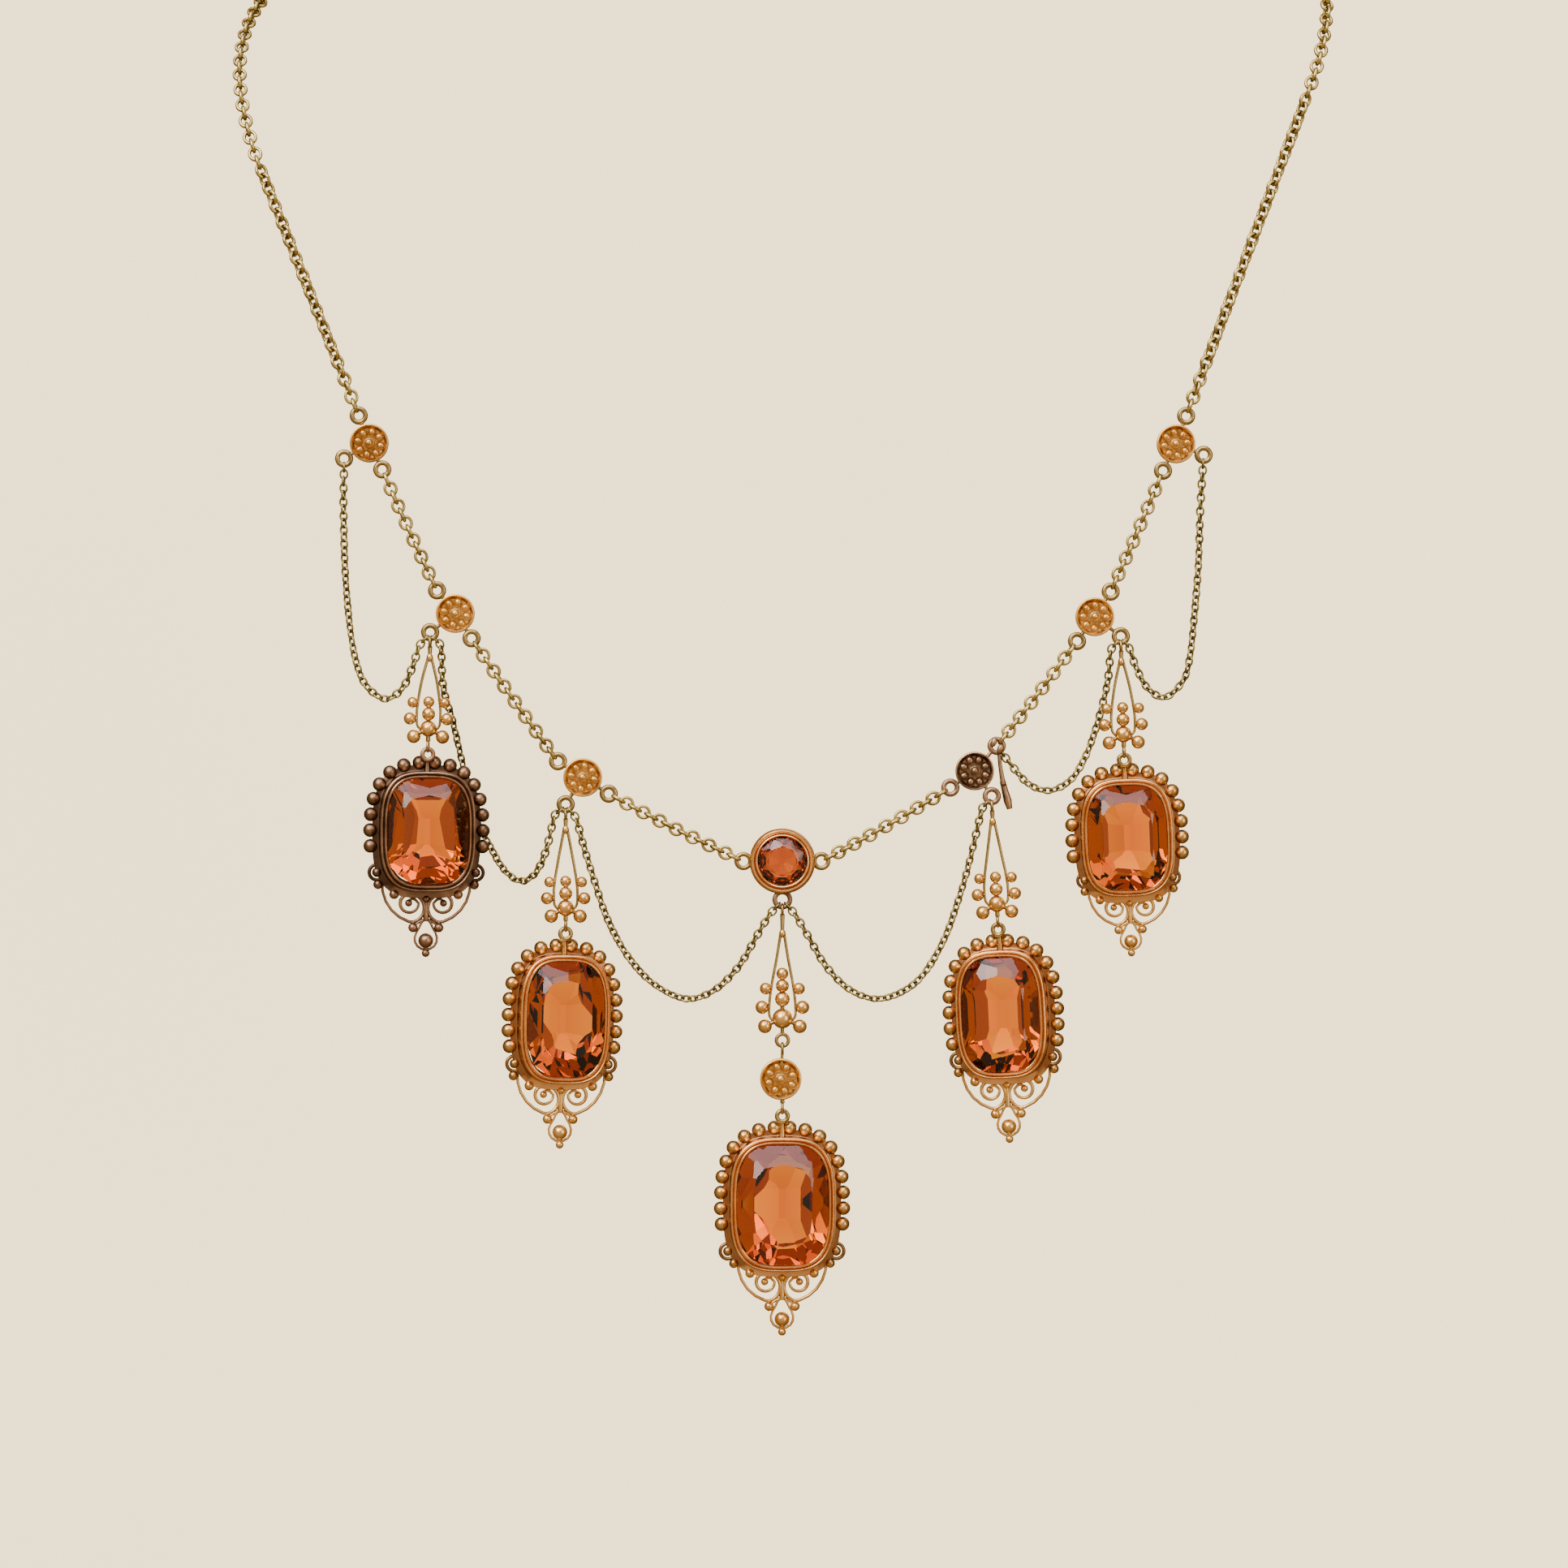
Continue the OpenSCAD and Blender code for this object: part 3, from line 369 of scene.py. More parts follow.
class Nodes:
    """The nodes of a material or of the room, added and joined in few words."""

    def __init__(self, owner: bpy.types.Material | bpy.types.World) -> None:
        """Starts with an empty set of nodes for their owner."""
        self.owner = owner
        owner.use_nodes = True
        self.tree = owner.node_tree
        self.tree.nodes.clear()

    def add(self, kind: str, **values: object) -> bpy.types.Node:
        """Adds a node.

        Args:
            kind: Its type, without the ShaderNode in front.
            values: Properties, or inputs where a name starts with in_ (underscores for spaces).

        Returns:
            The node.
        """
        node = self.tree.nodes.new("ShaderNode" + kind)
        for key, value in values.items():
            if key.startswith("in_"):
                node.inputs[key[3:].replace("_", " ")].default_value = value
            else:
                setattr(node, key, value)
        return node

    def join(self, source: bpy.types.NodeSocket, target: bpy.types.NodeSocket) -> None:
        """Joins two sockets."""
        self.tree.links.new(source, target)

    def blend(self, share: bpy.types.NodeSocket, low: object, high: object) -> bpy.types.NodeSocket:
        """Mixes two colours, each a socket or plain values.

        Args:
            share: How much of the second.
            low: The first colour.
            high: The second colour.

        Returns:
            The mixed colour.
        """
        node = self.add("Mix", data_type="RGBA")
        self.join(share, node.inputs[0])
        for value, socket in ((low, node.inputs[6]), (high, node.inputs[7])):
            if isinstance(value, bpy.types.NodeSocket):
                self.join(value, socket)
            else:
                socket.default_value = (*value, 1)
        return node.outputs[2]

    def spread(self, value: bpy.types.NodeSocket, low: float, high: float, to_low: float = 0,
               to_high: float = 1) -> bpy.types.NodeSocket:
        """Spreads a range of values over another.

        Args:
            value: The value.
            low: Where the range starts.
            high: Where it ends.
            to_low: What the start becomes.
            to_high: What the end becomes.

        Returns:
            The new value.
        """
        node = self.add("MapRange")
        self.join(value, node.inputs[0])
        for socket, number in zip(node.inputs[1:5], (low, high, to_low, to_high)):
            socket.default_value = number
        return node.outputs[0]


@dataclass(frozen=True)
class GoldFinish:
    """Old gold: polished high places, redder and duller patches, and in the recesses patina with painted
    shade.
    """

    name: str
    bright: Rgb
    blush: Rgb
    shade_and_patina: Rgb
    roughness: float = 0.27
    shade_and_patina_reach: float = 0.55
    grain: float = 0.05

    def made(self) -> bpy.types.Material:
        """Makes the material."""
        n = Nodes(bpy.data.materials.new(self.name))
        place = n.add("TexCoord").outputs["Object"]
        cloud = n.add("TexNoise", in_Scale=420.0, in_Detail=2.0)
        fine = n.add("TexNoise", in_Scale=2600.0, in_Detail=1.0)
        for noise in (cloud, fine):
            n.join(place, noise.inputs["Vector"])
        base = n.blend(n.spread(cloud.outputs[0], 0.38, 0.66), self.bright, self.blush)
        # Ambient occlusion darkens the recesses toward the dark colour: painted shade, together with the
        # patina that lies there
        hollow = n.add("AmbientOcclusion", samples=2, in_Distance=0.0009)
        occlusion_shade = n.spread(hollow.outputs["AO"], 0.75, 0.1, 0, self.shade_and_patina_reach)
        # The depth attribute adds the darkening that darken() writes: patina and painted shade
        depth = n.add("Attribute", attribute_name="depth")
        deep = n.add("Math", operation="MAXIMUM")
        n.join(occlusion_shade, deep.inputs[0])
        n.join(depth.outputs["Fac"], deep.inputs[1])
        colour = n.blend(deep.outputs[0], base, self.shade_and_patina)
        shader = n.add("BsdfPrincipled", in_Metallic=1.0)
        n.join(colour, shader.inputs["Base Color"])
        dull = n.spread(fine.outputs[0], 0.3, 0.7, self.roughness - self.grain,
                        self.roughness + self.grain * 1.6)
        n.join(dull, shader.inputs["Roughness"])
        bump = n.add("Bump", in_Strength=0.25, in_Distance=0.00003)
        n.join(fine.outputs[0], bump.inputs["Height"])
        n.join(bump.outputs[0], shader.inputs["Normal"])
        out = n.add("OutputMaterial")
        n.join(shader.outputs[0], out.inputs["Surface"])
        return n.owner


@dataclass(frozen=True)
class CitrineFinish:
    """Cut citrine: clear, drinking the blue and some of the green of what passes through it."""

    name: str
    colour: Rgb
    density: float

    def made(self) -> bpy.types.Material:
        """Makes the material."""
        n = Nodes(bpy.data.materials.new(self.name))
        # The per-facet colour is the stone's orange, with painted shade on the facets below the girdle
        tint = n.add("Attribute", attribute_name="tint")
        wisps = n.add("TexNoise", in_Scale=260.0, in_Detail=2.0)
        n.join(n.add("TexCoord").outputs["Object"], wisps.inputs["Vector"])
        shader = n.add("BsdfPrincipled", in_IOR=1.55)
        shader.inputs["Transmission Weight"].default_value = 1
        n.join(tint.outputs["Color"], shader.inputs["Base Color"])
        n.join(n.spread(wisps.outputs[0], 0.3, 0.7, 0.0, 0.006), shader.inputs["Roughness"])
        drink = n.add("VolumeAbsorption")
        drink.inputs["Color"].default_value = (*self.colour, 1)
        drink.inputs["Density"].default_value = self.density
        out = n.add("OutputMaterial")
        n.join(shader.outputs[0], out.inputs["Surface"])
        n.join(drink.outputs[0], out.inputs["Volume"])
        return n.owner


class Gold(Enum):
    """The golds of the necklace."""

    CHAIN = GoldFinish("chain_finish", bright=(0.69, 0.56, 0.20), blush=(0.43, 0.335, 0.10),
                       shade_and_patina=(0.09, 0.065, 0.02), roughness=0.25, shade_and_patina_reach=0.85)
    BEAD = GoldFinish("bead_finish", bright=(0.97, 0.62, 0.22), blush=(0.83, 0.48, 0.15),
                      shade_and_patina=(0.17, 0.075, 0.028), roughness=0.25, shade_and_patina_reach=0.62)
    FLOWER = GoldFinish("flower_finish", bright=(0.85, 0.53, 0.16), blush=(0.69, 0.39, 0.11),
                        shade_and_patina=(0.32, 0.15, 0.055), roughness=0.35, shade_and_patina_reach=0.6)
    RING = GoldFinish("ring_finish", bright=(0.50, 0.37, 0.14), blush=(0.33, 0.23, 0.085),
                      shade_and_patina=(0.08, 0.045, 0.02), roughness=0.25, shade_and_patina_reach=0.85)
    ROSE = GoldFinish("bezel_finish", bright=(0.97, 0.54, 0.22), blush=(0.82, 0.40, 0.14),
                      shade_and_patina=(0.20, 0.075, 0.028), roughness=0.27, shade_and_patina_reach=0.65)
    SWAG = GoldFinish("swag_finish", bright=(0.41, 0.345, 0.12), blush=(0.25, 0.205, 0.07),
                      shade_and_patina=(0.05, 0.037, 0.015), roughness=0.3, shade_and_patina_reach=0.85)
    DARK = GoldFinish("dull_finish", bright=(0.46, 0.29, 0.18), blush=(0.26, 0.15, 0.09),
                      shade_and_patina=(0.03, 0.014, 0.008), roughness=0.33, shade_and_patina_reach=0.9)
    BLACK = GoldFinish("blackened_finish", bright=(0.48, 0.31, 0.19), blush=(0.26, 0.16, 0.09),
                       shade_and_patina=(0.045, 0.025, 0.016), roughness=0.33, shade_and_patina_reach=0.85)

    def dress(self) -> bpy.types.Material:
        """Returns this gold's material, made the first time that it is asked for."""
        return bpy.data.materials.get(self.value.name) or self.value.made()


def gild(piece: Piece, gold: Gold) -> Piece:
    """Gives a part one gold all over.

    Args:
        piece: The part.
        gold: Which gold.

    Returns:
        The same part.
    """
    piece.data.materials.clear()
    piece.data.materials.append(gold.dress())
    return piece


def darken(piece: Piece, depth: Callable[[Vector], float]) -> None:
    """Writes how dark each place of a piece is made: patina and painted shade.

    Args:
        piece: The piece, before it is put in its place.
        depth: The darkening at a point, patina and painted shade, from 0 to 1.
    """
    layer = piece.data.attributes.get("depth") or piece.data.attributes.new("depth", "FLOAT", "POINT")
    for vertex, value in zip(piece.data.vertices, layer.data):
        value.value = min(max(depth(vertex.co), 0.0), 1.0)


def deliver(piece: Piece, node: str, body: str) -> None:
    """Brings a finished piece to size, fastens it to its body and lets it stand for its node.

    Args:
        piece: The piece, in millimetres.
        node: The node that it stands for.
        body: The body that it rides on.
    """
    piece.data.transform(Matrix.Scale(MM, 4))
    piece.data.update()
    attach(piece, body)
    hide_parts(node)
    log.info("%s: %d faces, on %s", piece.name, len(piece.data.polygons), body)


# The plan of the necklace, as in the part's source


# From the middle of a soldered ring down to the middle of its wire, in the solids
RING_REACH = 0.98
# X of the rings at the sides of the round citrine, and of those at the ends of the clasp
ROUND_RING_X = 4.8
CLASP_RING_X = 5.31
# How far a frame and its stone lie behind the ring that carries them
FRAME_BACK = 0.45


@dataclass(frozen=True)
class Station:
    """A rosette of the main chain and its rings: from above, onward to the middle, and the third."""

    node: str
    x: float
    z: float
    above: Spot
    onward: Spot
    third: Spot

    def at(self, offset: Spot = (0, 0)) -> Vector:
        """Returns the place of the rosette, or of one of its rings."""
        return Vector((self.x + offset[0], FRONT, self.z + offset[1]))

    def hinge(self) -> Vector:
        """Returns the lowest wire of the third ring, where a drop hangs."""
        return self.at(self.third) - Vector((0, 0, RING_REACH))


LEFT_OUTER = Station("rosette_left_outer", -50.9, -71.1, (-1.3, 3.4), (1.6, -3.25), (-3.1, -1.9))
LEFT_MIDDLE = Station("rosette_left_middle", -40.3, -92.1, (-2.25, 2.85), (2.0, -3.05), (-3.1, -2.3))
LEFT_INNER = Station("rosette_left_inner", -24.6, -112.3, (-3.05, 2.0), (3.2, -2.0), (-2.1, -3.3))
RIGHT_INNER = Station("rosette_right_inner", 23.7, -111.5, (2.7, 3.1), (-3.0, -2.05), (2.1, -3.1))
RIGHT_MIDDLE = Station("rosette_right_middle", 38.5, -92.5, (1.95, 3.1), (-2.2, -3.0), (3.2, -2.4))
RIGHT_OUTER = Station("rosette_right_outer", 48.5, -71.2, (1.25, 3.45), (-1.6, -3.3), (3.4, -1.35))
STATIONS = (LEFT_OUTER, LEFT_MIDDLE, LEFT_INNER, RIGHT_INNER, RIGHT_MIDDLE, RIGHT_OUTER)
# The round citrine, the staple under it and the lowest wire of the staple
MIDDLE = Vector((0, FRONT, -122.6))
STAPLE = Vector((0, FRONT, -127.35))
CENTRE_HINGE = Vector((0, FRONT, -128.355))


@dataclass(frozen=True)
class Drop:
    """A drop: its spray, its frame and its stone.

    The foot is the height of the frame's hinge under the spray's, the drop that of the stone's middle under
    the frame's hinge. The window lists the lowest facets of the stone: where round it, and how far out. The
    beads are those of one side of the border.
    """

    side: str
    hinge: Vector
    spray_lean: float
    foot: float
    lean: float
    half_w: float
    half_h: float
    drop: float
    turn: float
    beads: int
    window: tuple[Spot, ...]
    scrolls: float = 1.0
    dark: bool = False

    def hung(self) -> Matrix:
        """Returns the place of the spray."""
        return Matrix.Translation(self.hinge) @ turn(-self.spray_lean, "Y")

    def framed(self) -> Matrix:
        """Returns the place of the frame."""
        lean = turn(self.spray_lean - self.lean, "Y")
        return self.hung() @ shift(0, 0, self.foot) @ lean @ turn(self.turn, "Z")


DROPS = (
    Drop("left_outer", LEFT_MIDDLE.hinge(), -1.2, -13.3, -0.4, 5.2, 6.75, 10.3, 8, 8,
         ((5, 3.3), (178, 3.0), (90, 5.2), (235, 4.6), (275, 4.7), (318, 5.2)), dark=True),
    Drop("left_inner", LEFT_INNER.hinge(), 0, -14.2, -1.2, 4.95, 7.3, 11.3, 11, 9,
         ((22, 4.1), (200, 3.7), (330, 4.4), (150, 4.6), (262, 5.0), (98, 5.4), (236, 4.8))),
    Drop("right_inner", RIGHT_INNER.hinge(), 2.9, -14.7, 2.8, 4.95, 7.25, 11.2, -9, 9,
         ((0, 3.4), (180, 3.3), (152, 4.4), (215, 4.6), (60, 5.4), (278, 5.3), (322, 5.0))),
    Drop("right_outer", RIGHT_MIDDLE.hinge(), 1.7, -13.5, 2.2, 5, 6.6, 10.35, -2, 8,
         ((0, 3.8), (180, 3.6), (34, 4.7), (212, 4.5), (152, 5.0), (266, 5.2), (90, 5.5)), 0.92),
)
# The hinge of the centre drop's rosette, under the centre spray's
CENTRE_FOOT = -17.1
ROSETTE_HINGE = CENTRE_HINGE + Vector((0, 0, CENTRE_FOOT))
CENTRE_DROP = Drop("centre", ROSETTE_HINGE, 0, -7.8, 0, 5.8, 7.6, 11.6, 2, 9,
                   ((156, 4.0), (204, 4.0), (0, 3.4), (62, 5.4), (115, 5.3), (240, 5.0), (300, 5.4),
                    (272, 5.4)))

# Ways of the swags between their rings: x, how far behind the front plane, z
WAYS: dict[str, tuple[Row, ...]] = {
    "swag_left_outer": (
        (-54.1, 0.3, -79.0), (-53.9, 0.5, -87.0), (-53.3, 0.7, -94.0), (-52.5, 0.8, -98.3),
        (-51.3, 0.9, -101.0), (-49.0, 1.0, -102.6), (-46.9, 0.9, -101.3), (-45.6, 0.7, -98.6),
        (-44.8, 0.4, -96.2)),
    "swag_left_middle": (
        (-42.1, 0.5, -96.3), (-41.9, 1.8, -101.0), (-40.8, 3.8, -105.5), (-39.6, 5.4, -111.0),
        (-38.2, 6.0, -117.0), (-36.4, 5.6, -120.6), (-34.6, 4.6, -123.6), (-32.5, 3.4, -125.1),
        (-30.6, 2.2, -124.2), (-29.2, 1.2, -121.4), (-28.1, 0.4, -117.1)),
    "swag_left_inner": (
        (-25.4, 0.4, -117.5), (-24.5, 1.0, -120.8), (-23.0, 1.4, -125.7), (-21.5, 1.6, -130.0),
        (-19.2, 1.6, -134.2), (-16.0, 1.6, -137.7), (-12.0, 1.5, -139.6), (-8.5, 1.4, -138.6),
        (-5.4, 1.1, -135.6), (-3.2, 0.6, -131.9), (-1.7, 0.3, -129.4)),
    "swag_right_inner": (
        (1.7, 0.3, -129.4), (3.2, 0.7, -131.9), (5.4, 1.2, -135.6), (8.5, 1.6, -138.6),
        (12.3, 1.8, -139.6), (16.6, 2.0, -137.5), (19.8, 2.3, -132.7), (21.9, 2.4, -127.0),
        (23.2, 1.8, -122.3), (24.6, 0.5, -116.3)),
    "swag_right_middle": (
        (40.5, 0.4, -96.7), (40.2, 1.4, -100.2), (39.5, 2.2, -103.5), (38.5, 2.4, -107.0),
        (37.3, 2.2, -110.0), (35.6, 1.8, -112.6), (33.0, 1.4, -113.9), (30.4, 1.1, -113.1),
        (28.1, 0.5, -110.6)),
    "swag_right_outer": (
        (51.5, 0.3, -79.5), (51.3, 0.5, -86.0), (50.7, 0.7, -93.5), (50.2, 0.8, -97.8),
        (49.4, 0.9, -100.4), (47.2, 1.0, -102.4), (45.0, 0.9, -101.2), (43.5, 0.6, -98.4),
        (42.9, 0.4, -96.6)),
}


# Chains


@dataclass
class MainChain:
    """The chain of round links, edge on and face on in turn.

    A link is slim across the chain, and hangs so far from the middle of the ring that holds it. The links
    lie up to the wobble out of true. A side chain comes to its full twist after the untwisted links.
    """

    outer: float = 2.06
    wire: float = 0.48
    slim: float = 0.9
    pitch: float = 1.15
    hang: float = 1.34
    play: float = 0.1
    sag: float = 0.2
    wobble: float = 5.0
    side_twist: float = 40
    untwisted: int = 6
    side_reach: float = 36
    nape_reach: float = 40
    steps: int = 80
    link: Piece = field(init=False)
    chance: random.Random = field(init=False)

    def __post_init__(self) -> None:
        """Makes the link that all are copied from."""
        self.link = gild(Bench.ring("main_link", self.outer, self.wire, 16, 6), Gold.CHAIN)
        self.link.data.transform(size(1, self.slim, 1))
        self.chance = random.Random(7)

    def strung(self, points: Sequence[Vector], axes: Sequence[Vector], twist: float = 0.0) -> list[Piece]:
        """Strings links on a way.

        Args:
            points: The middle of each link.
            axes: The axis of each link.
            twist: By how many degrees the chain lies twisted.

        Returns:
            The links.
        """
        links = []
        for k, (point, axis) in enumerate(zip(points, axes)):
            line = run(points, k).normalized()
            lay = twist * min(1, k / self.untwisted) + self.chance.uniform(-self.wobble, self.wobble)
            swing = Matrix.Rotation(math.radians(lay), 4, line)
            links.append(Bench.placed(self.link, threaded(point, line, swing.to_3x3() @ axis)))
        return links

    def alternate(self, points: Sequence[Vector]) -> list[Vector]:
        """Returns the axes of links that lie in the front plane, the first of them edge on."""
        axes = []
        for k in range(len(points)):
            axes.append(run(points, k).cross(Vector((0, 1, 0))) if k % 2 == 0 else Vector((0, 1, 0)))
        return axes

    def between(self, node: str, a: Vector, b: Vector) -> None:
        """Hangs a length of chain between two rings.

        Args:
            node: The node that it stands for.
            a: The middle of one ring.
            b: The middle of the other.
        """
        whole = (b - a).length
        count = 2 * round((whole - 2 * self.hang) / self.pitch / 2) + 1
        held = self.hang / whole
        points = []
        for k in range(count):
            t = held + (1 - 2 * held) * k / (count - 1)
            points.append(a + (b - a) * t - Vector((0, 0, 4 * self.sag * t * (1 - t))))
        piece = Bench.joined(node + "_links", self.strung(points, self.alternate(points)))
        deliver(piece, node, "necklace")

    def side(self, name: str, ring: Vector, slope: Vector, count: int, toward: Vector, side: int) -> None:
        """Runs the chain up to the picture's edge, and on round the neck to the clasp.

        Args:
            name: Which side, left or right.
            ring: The ring that it starts from.
            slope: Which way it rises.
            count: Links up to the picture's edge.
            toward: Which way it then turns.
            side: -1 for the left, 1 for the right.
        """
        rise = slope.normalized()
        points = [ring + rise * (self.hang + k * self.pitch) for k in range(count)]
        links = self.strung(points, self.alternate(points), self.side_twist)
        deliver(Bench.joined(f"chain_side_{name}_links", links), f"chain_side_{name}", "necklace")
        start = points[-1] + rise * (self.outer / 2 + self.play)
        last = Vector((side * (CLASP_RING_X + self.hang), 0, 0))
        finish = last + Vector((side * (self.outer / 2 + self.play), 0, 0))
        a, b = start + self.side_reach * toward, finish + Vector((side * self.nape_reach, 0, 0))
        way = [points[-1]]
        for k in range(self.steps + 1):
            t = k / self.steps
            u = 1 - t
            way.append(u**3 * start + 3 * u * u * t * a + 3 * u * t * t * b + t**3 * finish)
        way.append(last)
        whole = span(way)
        steps = 2 * round(whole / self.pitch / 2) - 1
        places = along(way, [whole * k / steps for k in range(steps + 1)])
        axis = Vector((0, 1, 0))
        axes = []
        for k in range(steps + 1):
            line = run(places, k).normalized()
            axis = (axis - line * axis.dot(line)).normalized()
            axes.append(axis.copy() if k % 2 == 0 else line.cross(axis))
        line = (places[-1] - places[-2]).normalized()
        wanted = Vector((0, 0, 1))
        twist = math.atan2(axes[-1].cross(wanted).dot(line), axes[-1].dot(wanted))
        for k in range(steps + 1):
            line = run(places, k).normalized()
            axes[k] = Matrix.Rotation(twist * k / steps, 3, line) @ axes[k]
        links = self.strung(places[1:], axes[1:])
        deliver(Bench.joined(f"chain_back_{name}_links", links), f"chain_back_{name}", "necklace")

    def build(self) -> None:
        """Hangs every length of the main chain."""
        left_end = MIDDLE + Vector((-ROUND_RING_X, 0, 0))
        right_end = MIDDLE + Vector((ROUND_RING_X, 0, 0))
        for node, a, b in (
            ("chain_left_upper", LEFT_OUTER.at(LEFT_OUTER.onward), LEFT_MIDDLE.at(LEFT_MIDDLE.above)),
            ("chain_left_middle", LEFT_MIDDLE.at(LEFT_MIDDLE.onward), LEFT_INNER.at(LEFT_INNER.above)),
            ("chain_left_lower", LEFT_INNER.at(LEFT_INNER.onward), left_end),
            ("chain_right_upper", RIGHT_OUTER.at(RIGHT_OUTER.onward), RIGHT_MIDDLE.at(RIGHT_MIDDLE.above)),
            ("chain_right_middle", RIGHT_MIDDLE.at(RIGHT_MIDDLE.onward), RIGHT_INNER.at(RIGHT_INNER.above)),
            ("chain_right_lower", RIGHT_INNER.at(RIGHT_INNER.onward), right_end),
        ):
            self.between(node, a, b)
        self.side("left", LEFT_OUTER.at(LEFT_OUTER.above), Vector((-0.37, 0, 0.93)), 28,
                  Vector((-0.34, 0.25, 0.906)), -1)
        self.side("right", RIGHT_OUTER.at(RIGHT_OUTER.above), Vector((0.353, 0, 0.936)), 36,
                  Vector((0.34, 0.25, 0.906)), 1)


@dataclass
class SwagChain:
    """The fine chains that hang in swags from ring to ring, twisted most in the middle."""

    outer: float = 1.45
    wire: float = 0.32
    slim: float = 0.8
    twist: float = 42.0
    wobble: float = 9
    pitch: float = 0.85
    held: float = 1.07
    link: Piece = field(init=False)

    def __post_init__(self) -> None:
        """Makes the link that all are copied from."""
        self.link = gild(Bench.ring("swag_link", self.outer, self.wire, 14, 6), Gold.SWAG)
        self.link.data.transform(size(1, self.slim, 1))

    def hung(self, node: str, a: Vector, b: Vector) -> None:
        """Hangs a swag.

        Args:
            node: The node that it stands for.
            a: The middle of the ring that it starts from.
            b: The middle of the ring that it goes to.
        """
        middle = [Vector((x, FRONT + y, z)) for x, y, z in WAYS[node]]
        first = a + (middle[0] - a).normalized() * self.held
        last = b + (middle[-1] - b).normalized() * self.held
        knots = [first, *middle, last]
        way = smooth(knots, 8)
        whole = span(way)
        steps = 2 * round(whole / self.pitch / 2)
        places = along(way, [whole * k / steps for k in range(steps + 1)])
        chance = random.Random(node)
        parts = []
        for k, place in enumerate(places):
            line = run(places, k).normalized()
            flat = Vector((0, 1, 0)) - line * line.y
            axis = line.cross(flat) if k % 2 == 0 else flat
            lay = self.twist * math.sin(math.pi * k / steps) ** 0.5
            lay += chance.uniform(-self.wobble, self.wobble)
            swing = Matrix.Rotation(math.radians(lay), 4, line)
            parts.append(Bench.placed(self.link, threaded(place, line, swing.to_3x3() @ axis.normalized())))
        deliver(Bench.joined(node + "_links", parts), node, "necklace")

    def build(self) -> None:
        """Hangs the six swags."""
        third = {s.node: s.at(s.third) for s in STATIONS}
        for node, a, b in (
            ("swag_left_outer", third["rosette_left_outer"], third["rosette_left_middle"]),
            ("swag_left_middle", third["rosette_left_middle"], third["rosette_left_inner"]),
            ("swag_left_inner", third["rosette_left_inner"], STAPLE),
            ("swag_right_inner", STAPLE, third["rosette_right_inner"]),
            ("swag_right_middle", third["rosette_right_middle"], RIGHT_INNER.at(RIGHT_INNER.above)),
            ("swag_right_outer", third["rosette_right_outer"], third["rosette_right_middle"]),
        ):
            self.hung(node, a, b)


# Rosettes


